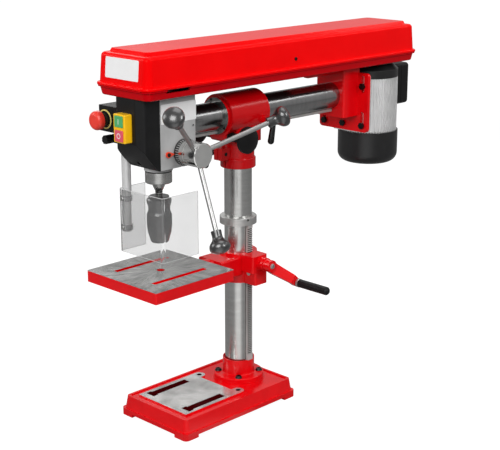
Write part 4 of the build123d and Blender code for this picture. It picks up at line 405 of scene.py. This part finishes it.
# Fine upright streaks break up the chuck's dark mirror
chuck_steel, tree, shader, place = finish("hardened chuck steel", Metallic=1.0, Roughness=0.22)
cloud(tree, shader, place, "#5A5A5A", "#787878", size_mm=3.0, stretch=(3.0, 3.0, 0.4))
mark(tree, shader, "#1E1E1E", inside(tree, place, Z=(CHUCK_DISC_Z, None)))
print("made", spindle_steel.name, "and", chuck_steel.name)

# %% [markdown]
# ## Paint, plastics and rubber
#
# The head is enamelled a light grey. The cover, knobs and boxes are black moulded plastic
# with a fine spark-eroded grain of about half a millimetre, drawn here as 1 mm so that it shows.
# Polished mouldings and sprayed paint have wider waves instead, of 4 to 8 mm.
# Displacement could give such a grain too, but a bump is enough for one this fine.

# %% Grey enamel and mouldings
GRAIN_SPREAD = 0.04


def moulded(name, dark, light, rough, grain_mm=1.0, depth_mm=0.03, **surface):
    """Moulded plastic or enamel: one colour, clouded over 40 mm, with a fine even grain."""
    made, tree, shader, place = finish(name, **surface)
    cloud(tree, shader, place, dark, light, size_mm=40)
    spread = (rough - GRAIN_SPREAD, rough + GRAIN_SPREAD)
    skin(tree, shader, place, grain_mm, depth_mm, rough=spread)
    return made


# Enamel on the head and on the motor's ends has a soft, broken shine
head_grey = moulded("light grey enamel on cast iron", "#A6A6A6", "#B2B2B2", 0.38, 5.0, 0.08)
motor_black = moulded("satin black enamel", "#121213", "#1A1A1B", 0.32, 4.0, 0.03)
# Grained ABS stays deep black, while polished phenolic balls carry a clear highlight
cover_black = moulded("black grained ABS", "#0A0A0B", "#111112", 0.46, Specular_IOR_Level=0.24)
knob_black = moulded("black polished phenolic", "#111112", "#171718", 0.3, 6.0, 0.01,
                     Specular_IOR_Level=0.9, Coat_Weight=0.8, Coat_Roughness=0.18)
# Polycarbonate parts are bright and evenly satin
switch_yellow = moulded("yellow polycarbonate", "#FFBE00", "#FFC814", 0.30)
ring_yellow = moulded("pale yellow polycarbonate", "#DCC468", "#E6D07A", 0.35)
pointer_orange = moulded("orange polycarbonate", "#EE3A1A", "#F44A26", 0.35)
# Rubber is matt and drinks the light, and the coated plates are clean and smooth
belt_rubber = moulded("black rubber", "#141414", "#1E1E1E", 0.7)
plate_white = moulded("white coated aluminium", "#EAEAEA", "#F0F0F0", 0.4, 8.0, 0.01)
print("enamel, mouldings and rubber made")

# %% [markdown]
# ## Marks that belong to the controls
#
# The start and stop buttons carry the plain bar and ring of any switch, the emergency stop
# has a black neck under its red cap, and the depth ring has even lines.
# Each is a mask worked out from Object coordinates in millimetres, so no picture is needed:
# a bar is a box in x and z, a ring is "near in distance", and lines are
# the fraction of the angle round the feed shaft.

# %% Buttons
START_Z, BAR_HALF_WIDTH, BAR_HALF_HEIGHT = 776.5, 1.0, 6.0
STOP_Z, RING_R, RING_HALF_WIDTH = 743.5, 5.5, 1.0
ESTOP_NECK_Y = -364.2

start_green, tree, shader, place = finish("green polycarbonate", Roughness=0.3)
cloud(tree, shader, place, "#44A060", "#52AE6E", size_mm=40)
tall = (START_Z - BAR_HALF_HEIGHT, START_Z + BAR_HALF_HEIGHT)
mark(tree, shader, "#E8EEE8", inside(tree, place, X=(-BAR_HALF_WIDTH, BAR_HALF_WIDTH), Z=tall))

stop_red, tree, shader, place = finish("pale red polycarbonate", Roughness=0.3)
cloud(tree, shader, place, "#DC4C5E", "#E45C70", size_mm=40)
flat = add(tree, "ShaderNodeVectorMath", {0: place, 1: (1, 0, 1)}, operation="MULTIPLY").outputs[0]
middle = (0, 0, STOP_Z * MM)
span = add(tree, "ShaderNodeVectorMath", {0: flat, 1: middle}, operation="DISTANCE").outputs["Value"]
near = {0: span, 1: RING_R * MM, 2: RING_HALF_WIDTH * MM}
mark(tree, shader, "#F2E4E4", add(tree, "ShaderNodeMath", near, operation="COMPARE").outputs[0])

estop_red, tree, shader, place = finish("red polycarbonate", Roughness=0.32)
cloud(tree, shader, place, "#EA3626", "#F04234", size_mm=40)
mark(tree, shader, "#1A1A1B", inside(tree, place, Y=(ESTOP_NECK_Y, None)))
print("start, stop and emergency buttons marked")

# %% Depth ring
FEED_Y, FEED_Z = -228.0, 692.0
LINES, LINE_SHARE, LINES_FROM_X = 36, 0.16, 55.0

ring_black, tree, shader, place = finish("black anodised aluminium", Roughness=0.4)
cloud(tree, shader, place, "#161616", "#202020", size_mm=12)
parts = add(tree, "ShaderNodeSeparateXYZ", {0: place}).outputs
across = add(tree, "ShaderNodeMath", {0: parts["Y"], 1: FEED_Y * MM}, operation="SUBTRACT").outputs[0]
rise = add(tree, "ShaderNodeMath", {0: parts["Z"], 1: FEED_Z * MM}, operation="SUBTRACT").outputs[0]
angle = add(tree, "ShaderNodeMath", {0: rise, 1: across}, operation="ARCTAN2").outputs[0]
turns = {0: angle, 1: LINES / (2 * np.pi)}
turns = add(tree, "ShaderNodeMath", turns, operation="MULTIPLY").outputs[0]
share = add(tree, "ShaderNodeMath", {0: turns}, operation="FRACT").outputs[0]
line = add(tree, "ShaderNodeMath", {0: share, 1: LINE_SHARE}, operation="LESS_THAN").outputs[0]
mark(tree, shader, "#D8D8D8", line, inside(tree, place, X=(LINES_FROM_X, None)))
print(LINES, "lines on the depth ring")

# %% [markdown]
# ## Clear sheet
#
# The guard is bent polycarbonate, 3 mm thick. Its faces pass nearly all the light
# and its cut edges look brighter. A transmissive shader with the plastic's own IOR
# of 1.58 gives the clear faces, the cut edges are painted paler and less clear as a painted highlight,
# a little roughness stands for handling scratches, and a share
# of plain diffuse light gives the milky veil of a sheet that has been wiped often.

# %% Clear polycarbonate
RIM_MM = 0.8
CLEAR_SHARE, RIM_LOSS = 0.93, 0.6

clear_sheet, tree, shader, place = finish(
    "clear polycarbonate", IOR=1.58, Roughness=0.03, Specular_IOR_Level=0.3)
cloud(tree, shader, place, "#E6E6E6", "#EAEAEA", size_mm=50)
sheet_low, sheet_high = (np.array(corner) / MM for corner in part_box("guard"))
# Painted highlight: the cut edges at the top, the bottom and the back are drawn paler and less clear
rim_highlight = inside(tree, place, Z=(sheet_high[2] - RIM_MM, None))
for edge in ({"Z": (None, sheet_low[2] + RIM_MM)}, {"Y": (sheet_high[1] - RIM_MM, None)}):
    cut = inside(tree, place, **edge)
    rim_highlight = add(tree, "ShaderNodeMath", {0: rim_highlight, 1: cut}, operation="MAXIMUM").outputs[0]
mark(tree, shader, "#F0F0F0", rim_highlight)
clear = add(tree, "ShaderNodeMath", {0: rim_highlight, 1: -RIM_LOSS, 2: CLEAR_SHARE}, operation="MULTIPLY_ADD")
tree.links.new(clear.outputs[0], shader.inputs["Transmission Weight"])
print("made", clear_sheet.name)

# %% [markdown]
# ## Finishes on the solids
#
# Each finish lists the solids that wear it. A CAD solid keeps its shape and its place,
# so dressing it only means changing what is in its material slot.

# %% Put the finishes on the solids
WEAR = {
    sheet_red: ["belt_lid", "belt_tray"],
    casting_red: ["column_flange", "table_bracket", "crank_arm", "motor_bracket"],
    base_red: ["base"],
    table_red: ["table"],
    shaded_support_red: ["head_support"],
    column_steel: ["column"],
    ram_steel: ["ram"],
    toothed_steel: ["column_rack"],
    rack_steel: ["ram_rack", "ram_pinion", "lift_gear", "worm_shaft", "return_spring", "quill_bearings"],
    hub_steel: ["feed_hub", "feed_shaft"],
    rod_steel: ["feed_rods"],
    collar_steel: ["rack_collar"],
    zinc_steel: ["guard_rod"],
    quill_steel: ["quill"],
    spindle_steel: ["spindle"],
    chuck_steel: ["chuck_body", "chuck_sleeve", "chuck_jaw_1", "chuck_jaw_2", "chuck_jaw_3"],
    dark_steel: ["flange_bolts", "bracket_bolts", "stator", "rotor",
                 "table_lock_lever", "ram_lock_lever", "column_lock_lever"],
    motor_alloy: ["motor_body"],
    pulley_alloy: ["spindle_pulley", "motor_pulley"],
    head_grey: ["head_casting"],
    cover_black: ["front_cover", "guard_box", "terminal_box", "guard_knob", "spring_cap",
                  "crank_grip", "ram_knobs"],
    ring_black: ["depth_ring"],
    knob_black: ["feed_knobs"],
    motor_black: ["motor_bell", "fan_cover"],
    switch_yellow: ["switch_body"],
    start_green: ["start_button"],
    stop_red: ["stop_button"],
    estop_red: ["estop_button"],
    pointer_orange: ["depth_pointer"],
    belt_rubber: ["drive_belt", "bumper_ring"],
    clear_sheet: ["guard"],
}
for wear, names in WEAR.items():
    for name in names:
        nodes[name].data.materials.clear()
        nodes[name].data.materials.append(wear)
dressed = {name for names in WEAR.values() for name in names}
print(len(dressed), "solids finished, left over:", sorted(set(nodes) - dressed))

# %% [markdown]
# ## Small fittings
#
# Screws, blank plates and thin rings are too small for the solids, but the eye misses them.
# Each could be a primitive cut with booleans. It is quicker, and cleaner, to stack outlines:
# every outline is a closed row of points, the rows are joined by quads, and a cap closes each end.
# A socket is only one more outline inside the head, carried down into it.

# %% Surface from rows of points
CREASE = np.radians(35)
UPRIGHT = 0.9


def grid_piece(name, points, finish_of, body=None, close_u=False, close_v=False, caps=False):
    """A mesh of quads on a grid of points, rows by columns by 3.

    close_u joins the last row to the first, close_v the last column to the first, caps fill both ends.
    """
    rows, columns = points.shape[:2]
    order = np.arange(rows * columns).reshape(rows, columns)
    ends = [order[::-1, 0].tolist(), order[:, -1].tolist()] if caps else []
    order = np.vstack([order, order[:1]]) if close_u else order
    order = np.hstack([order, order[:, :1]]) if close_v else order
    corners = [order[:-1, :-1], order[1:, :-1], order[1:, 1:], order[:-1, 1:]]
    quads = np.stack(corners, -1).reshape(-1, 4)
    mesh = bpy.data.meshes.new(name)
    mesh.from_pydata(points.reshape(-1, 3), [], quads.tolist() + ends)
    mesh.polygons.foreach_set("use_smooth", np.ones(len(mesh.polygons), bool))
    mesh.set_sharp_from_angle(angle=CREASE)
    mesh.materials.append(finish_of)
    piece = bpy.data.objects.new(name, mesh)
    bpy.context.scene.collection.objects.link(piece)
    if body:
        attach(piece, body)
    return piece


def stacked(outlines, rises, centre, axis):
    """Outlines laid square to an axis: centre + x side + y up + rise axis, from mm to metres."""
    axis = np.array(axis, float) / np.linalg.norm(axis)
    side = np.cross(axis, (0, 0, 1) if abs(axis[2]) < UPRIGHT else (1, 0, 0))
    side = side / np.linalg.norm(side)
    up = np.cross(axis, side)
    flat = np.stack(outlines, 1)
    along = np.array(rises)[None, :, None] * axis
    return MM * (np.array(centre) + flat[..., :1] * side + flat[..., 1:] * up + along)


print("surfaces are creased past", round(np.degrees(CREASE)), "degrees")

# %% Outlines for screws
ANGLES = np.linspace(0, 2 * np.pi, 48, endpoint=False)
TINY = 1e-9
SUNK_MM = 0.2
EDGE_OF_RADIUS, EDGE_OF_HEIGHT = 0.25, 0.4
SOCKET_TAPER, SOCKET_FLOOR = 0.94, 0.45


def outline(reach):
    """Points round a middle at the given reach for each angle: (reach cos a, reach sin a)."""
    return np.stack([reach * np.cos(ANGLES), reach * np.sin(ANGLES)], -1)


def hexagon(half):
    """Reach of a hexagon: half its width over the cosine of the angle to the nearest flat."""
    return half / np.cos(np.mod(ANGLES + np.pi / 6, np.pi / 3) - np.pi / 6)


def cross(long, short):
    """Reach of two crossed bars: the farther of them, each the nearer of its end and its side."""
    run, rise = np.abs(np.cos(ANGLES)) + TINY, np.abs(np.sin(ANGLES)) + TINY
    return np.maximum(np.minimum(long / run, short / rise), np.minimum(short / run, long / rise))


def screw(name, body, radius, height, socket, seat, axis, kind):
    """A round head with a broken edge and a socket about half as deep; kind is its finish and a slot
    name, which is not used.
    """
    edge = min(EDGE_OF_RADIUS * radius, EDGE_OF_HEIGHT * height)
    reaches = [radius, radius, radius - edge, socket, SOCKET_TAPER * socket]
    rises = [-SUNK_MM, height - edge, height, height, SOCKET_FLOOR * height]
    points = stacked([outline(reach) for reach in reaches], rises, seat, axis)
    finish_of, slot = kind
    return grid_piece(name, points, finish_of, body, close_u=True, caps=True)


print(len(ANGLES), "points on each outline")

# %% Screws
TO_FRONT, TO_RIGHT = (0, -1, 0), (1, 0, 0)
LID_LEAN = np.radians(4.5)
LID_SIDE = (np.cos(LID_LEAN), 0, np.sin(LID_LEAN))
RAM_Z, NOSE_SEAT_Y, NOSE_MID_R = 750.0, -78.0, 41.5
BLACK, BRIGHT = (dark_steel, "black_steel"), (rod_steel, "steel")


def on_nose(turn):
    """A seat on the support's nose, turn degrees from its top about the ram's axis."""
    turn = np.radians(turn)
    return NOSE_MID_R * np.sin(turn), NOSE_SEAT_Y, RAM_Z + NOSE_MID_R * np.cos(turn)


# Name, body, head radius and height, socket, seat, the way it faces, and kind
SCREWS = [
    ("lid_side_screw", "lid", 4.5, 2.4, cross(2.6, 0.6), (87.3, 115, 878), LID_SIDE, BLACK),
    ("pointer_screw", "ram", 4.6, 2.6, cross(2.8, 0.7), (54, -278, 692), TO_RIGHT, BLACK),
    ("nose_screw_upper", "arm_support", 3.4, 1.2, hexagon(1.7), on_nose(-20), TO_FRONT, BLACK),
    ("nose_screw_lower", "arm_support", 3.4, 1.2, hexagon(1.7), on_nose(130), TO_FRONT, BLACK),
    ("crank_hub_screw", "crank", 6.0, 3.2, cross(3.6, 0.8), (120.3, 0, 375.6), TO_RIGHT, BRIGHT),
    ("guard_screw_low", "guard", 5.0, 3.0, cross(3.0, 0.7), (-63.5, -323.5, 505), TO_FRONT, BRIGHT),
    ("guard_screw_high", "guard", 5.0, 3.0, cross(3.0, 0.7), (-63.5, -323.5, 576), TO_FRONT, BRIGHT),
]
for row in SCREWS:
    screw(*row)
print(len(SCREWS), "screws fitted")

# %% [markdown]
# ## Blank plates
#
# The plates on the case and on the head are bare: thin white sheets with rounded corners.
# A cube with a bevel would do, but the same stack of outlines gives the corners their own radius
# and breaks only the front edge, as a punched plate has it.

# %% Plates
PLATE_CORNER, PLATE_BREAK = 3.0, 0.2
PLATE_RISES = [-0.1, 0.5, 0.7]
QUADRANTS = np.array([[1, 1], [-1, 1], [-1, -1], [1, -1]])
LID_FOOT_Y, LID_FOOT_Z = -369.485, 850.3
LID_PLATE_Z = 894.0


def rounded(width, height, corner):
    """A rectangle with quarter-round corners, each an arc of the corner radius about its own centre."""
    quarter = np.linspace(0, np.pi / 2, 9)
    turn = np.concatenate([quarter + k * np.pi / 2 for k in range(4)])
    signs = np.repeat(QUADRANTS, len(quarter), axis=0)
    middle = signs * (np.array([width, height]) / 2 - corner)
    return middle + corner * np.stack([np.cos(turn), np.sin(turn)], -1)


def plate(name, width, height, centre, axis, body):
    """A sheet 0.7 mm thick whose front edge is broken by PLATE_BREAK."""
    full = rounded(width, height, PLATE_CORNER)
    front = rounded(width - 2 * PLATE_BREAK, height - 2 * PLATE_BREAK, PLATE_CORNER - PLATE_BREAK)
    points = stacked([full, full, front], PLATE_RISES, centre, axis)
    return grid_piece(name, points, plate_white, body, close_u=True, caps=True)


lid_plate_y = LID_FOOT_Y + (LID_PLATE_Z - LID_FOOT_Z) * np.tan(LID_LEAN)
lid_front = (0, -np.cos(LID_LEAN), np.sin(LID_LEAN))
plate("lid_plate", 114, 47, (0, lid_plate_y, LID_PLATE_Z), lid_front, "lid")
plate("head_plate", 108, 46, (50, -242.5, 787), TO_RIGHT, "ram")
print("plates fitted, the lid's at y", round(lid_plate_y, 2), "mm")

# %% [markdown]
# ## Emergency ring and grip ferrule
#
# A flat yellow ring with soft edges lies under the emergency stop, and a bright sheet ferrule
# closes the end of the moulded grip that faces the crank. A torus would make both too round,
# so each is a hoop: a small closed profile carried round an axis.
# The ferrule takes its place from the grip's own box.

# %% Hoops
ESTOP_SEAT = (-90, -345, 766)
ESTOP_BAND = [(19.4, 0.0), (22.4, 0.0), (23.0, 0.6), (23.0, 1.6), (22.4, 2.2), (20.0, 2.2), (19.4, 1.6)]
FERRULE_BAND = [(7.0, 0.1), (9.4, 0.1), (11.1, 1.6), (11.1, 7.0), (10.6, 7.4), (10.2, 7.0), (8.2, 1.5)]


def hoop(name, band, centre, axis, finish_of, body):
    """A closed profile of (reach, rise) pairs carried round an axis."""
    reaches, rises = zip(*band)
    points = stacked([outline(reach) for reach in reaches], rises, centre, axis)
    return grid_piece(name, points, finish_of, body, close_u=True, close_v=True)


hoop("estop_ring", ESTOP_BAND, ESTOP_SEAT, TO_FRONT, ring_yellow, "ram")
grip_low, grip_high = (np.array(corner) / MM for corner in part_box("crank_grip"))
grip_start = np.array([grip_low[0], *((grip_low + grip_high) / 2)[1:]])
hoop("grip_ferrule", FERRULE_BAND, grip_start, TO_RIGHT, rod_steel, "crank_grip")
print("ring fitted, ferrule at", grip_start.round(1), "mm")

# %% [markdown]
# ## Studio
#
# The catalogue picture has a white ground and broad, soft lamps. A sweep of white card
# runs under the machine and up behind it. It adds its own white to camera and
# transmission rays, so that it stays pale without more light falling on the machine,
# but not to those that a piece behind the clear sheet has mirrored on the way.
# To glossy rays it is white only where it rises behind and in a wedge that lies in front,
# so that the tubes get a bright line along the middle and the enamel keeps its colour.

# %% Studio card as it is seen
CARD_GREY, CARD_WHITE = 0.16, 0.93

card, tree, shader, place = finish("white studio card", Roughness=0.9)
card.cycles.emission_sampling = "NONE"
shader.inputs["Base Color"].default_value = (CARD_GREY, CARD_GREY, CARD_GREY, 1)
shader.inputs["Emission Color"].default_value = (1, 1, 1, 1)
ray = add(tree, "ShaderNodeLightPath").outputs
direct = add(tree, "ShaderNodeMath", {0: ray["Glossy Depth"], 1: 0.5}, operation="LESS_THAN").outputs[0]
through = {0: ray["Is Transmission Ray"], 1: direct}
through = add(tree, "ShaderNodeMath", through, operation="MULTIPLY").outputs[0]
seen = {0: ray["Is Camera Ray"], 1: through}
seen = add(tree, "ShaderNodeMath", seen, operation="MAXIMUM").outputs[0]
shown = add(tree, "ShaderNodeMath", {0: seen, 1: CARD_WHITE}, operation="MULTIPLY").outputs[0]
print("made", card.name)

# %% Studio card as it is mirrored
FACING = np.radians(44.38)
RISE = {"From Max": 2.0, "To Min": 0.1, "To Max": 0.42}
WEDGE = {"From Min": 0.82, "From Max": 0.98, "To Min": 0.0, "To Max": 0.8}

height = add(tree, "ShaderNodeSeparateXYZ", {0: place}).outputs["Z"]
behind = add(tree, "ShaderNodeMapRange", {"Value": height, **RISE}).outputs[0]
bearing = add(tree, "ShaderNodeVectorMath", {0: place}, operation="NORMALIZE").outputs[0]
toward = {0: bearing, 1: (np.sin(FACING), -np.cos(FACING), 0)}
toward = add(tree, "ShaderNodeVectorMath", toward, operation="DOT_PRODUCT").outputs["Value"]
front = add(tree, "ShaderNodeMapRange", {"Value": toward, **WEDGE}).outputs[0]
lift = add(tree, "ShaderNodeMath", {0: behind, 1: front}, operation="MAXIMUM").outputs[0]
mirrored = {0: ray["Is Glossy Ray"], 1: through}
mirrored = add(tree, "ShaderNodeMath", mirrored, operation="SUBTRACT").outputs[0]
glow = add(tree, "ShaderNodeMath", {0: mirrored, 1: lift, 2: shown}, operation="MULTIPLY_ADD")
tree.links.new(glow.outputs[0], shader.inputs["Emission Strength"])
print("mirrored white up to", RISE["To Max"], "behind and", WEDGE["To Max"], "in front")

# %% Floor sweep
FRONT_EDGE, BEND_START, BEND_R, TOP_EDGE, HALF_WIDTH = -7.0, 3.5, 1.5, 7.0, 8.0
FLOOR_GAP_MM = 0.2

turn = np.linspace(0, np.pi / 2, 24)
along = np.concatenate([[FRONT_EDGE], BEND_START + BEND_R * np.sin(turn), [BEND_START + BEND_R]])
height = np.concatenate([[0.0], BEND_R - BEND_R * np.cos(turn), [TOP_EDGE]])
across = np.linspace(-HALF_WIDTH, HALF_WIDTH, 9)
sweep = np.stack([
    across[None, :] * np.cos(FACING) - along[:, None] * np.sin(FACING),
    across[None, :] * np.sin(FACING) + along[:, None] * np.cos(FACING),
    np.broadcast_to(height[:, None] - FLOOR_GAP_MM * MM, (len(along), len(across))),
], -1)
floor = grid_piece("studio_sweep", sweep, card)
print("sweep of", sweep.shape[:2], "points laid")

# %% [markdown]
# ## Light
#
# A photographer lights such a machine with a large soft box in front, weaker ones at the sides
# and above, and a strip behind that draws the edges. Area lamps do the same here.
# The world alone would light it too, but then no form would get a light and a dark side.
# So it only adds a plain grey from all round, a little lighter overhead, and is white to the camera.

# %% World
SKY_FROM, SKY_GREYS = -0.1, (0.34, 0.50)

world = bpy.data.worlds.new("studio")
bpy.context.scene.world = world
world.use_nodes = True
tree = world.node_tree
tree.nodes.clear()
ray = add(tree, "ShaderNodeLightPath").outputs
way = add(tree, "ShaderNodeTexCoord").outputs["Generated"]
rise = add(tree, "ShaderNodeSeparateXYZ", {0: way}).outputs["Z"]
rise = {"Value": rise, "From Min": SKY_FROM, "From Max": 1.0}
rise = add(tree, "ShaderNodeMapRange", rise).outputs[0]
sky = add(tree, "ShaderNodeValToRGB", {"Fac": rise})
for stop, grey in zip(sky.color_ramp.elements, SKY_GREYS):
    stop.color = (grey, grey, grey, 1)
white = {0: ray["Is Camera Ray"], 6: sky.outputs[0], 7: (1, 1, 1, 1)}
white = add(tree, "ShaderNodeMix", white, data_type="RGBA").outputs[2]
backdrop = add(tree, "ShaderNodeBackground", {"Color": white, "Strength": 1.0})
add(tree, "ShaderNodeOutputWorld", {"Surface": backdrop.outputs[0]})
print("world from", SKY_GREYS[0], "to", SKY_GREYS[1])

# %% Lamps
# Place and target in metres, watts, width and height
LAMPS = {
    "key_lamp": ((1.5, -3.1, 2.5), (0, 0, 0.5), 90, 2.4, 2.0),
    "side_lamp": ((3.2, 0.3, 2.4), (0, 0.1, 0.5), 42, 1.0, 1.2),
    "top_lamp": ((0.2, 0.2, 3.2), (0, 0.1, 0.5), 19, 1.8, 1.8),
    "fill_lamp": ((-2.6, -2.4, 1.9), (0, 0, 0.5), 22, 1.4, 1.4),
    "back_lamp": ((1.7, 2.2, 2.3), (0, 0.1, 0.75), 6, 2.0, 0.25),
    "rear_lamp": ((-2.6, 1.2, 2.6), (0, 0.1, 0.5), 20, 1.6, 1.6),
}
for name, (where, target, watts, width, height) in LAMPS.items():
    light = bpy.data.lights.new(name, "AREA")
    light.shape = "RECTANGLE"
    light.size, light.size_y, light.energy = width, height, watts
    lamp = bpy.data.objects.new(name, light)
    lamp.location = where
    aim = np.array(target) - np.array(where)
    tip = np.arccos(-aim[2] / np.linalg.norm(aim))
    lamp.rotation_euler = (tip, 0, np.arctan2(-aim[0], aim[1]))
    bpy.context.scene.collection.objects.link(lamp)
print("studio lit by", len(LAMPS), "lamps")

# %% [markdown]
# ## Camera
#
# The camera stands where the photographer stood: to the operator's right and higher than
# the machine's top, turned 44.4 degrees from the front and tipped down 15.7 degrees.
# It could be set by eye. Its place and lens were fitted to the photograph instead, with the
# column's width as the measure, so that the machine fills the frame as it does there.

# %% Camera
CAMERA_AT = (2.0758, -2.0782, 1.2820)
TIPPED_DOWN = np.radians(15.65)

camera = bpy.data.objects.new("camera", bpy.data.cameras.new("camera"))
camera.location = CAMERA_AT
camera.rotation_euler = (np.pi / 2 - TIPPED_DOWN, 0, FACING)
camera.data.lens = 86.5
camera.data.sensor_width = 36.0
camera.data.sensor_fit = "HORIZONTAL"
bpy.context.scene.collection.objects.link(camera)
bpy.context.scene.camera = camera
bpy.context.scene.view_settings.view_transform = "Standard"
print("camera at", CAMERA_AT)
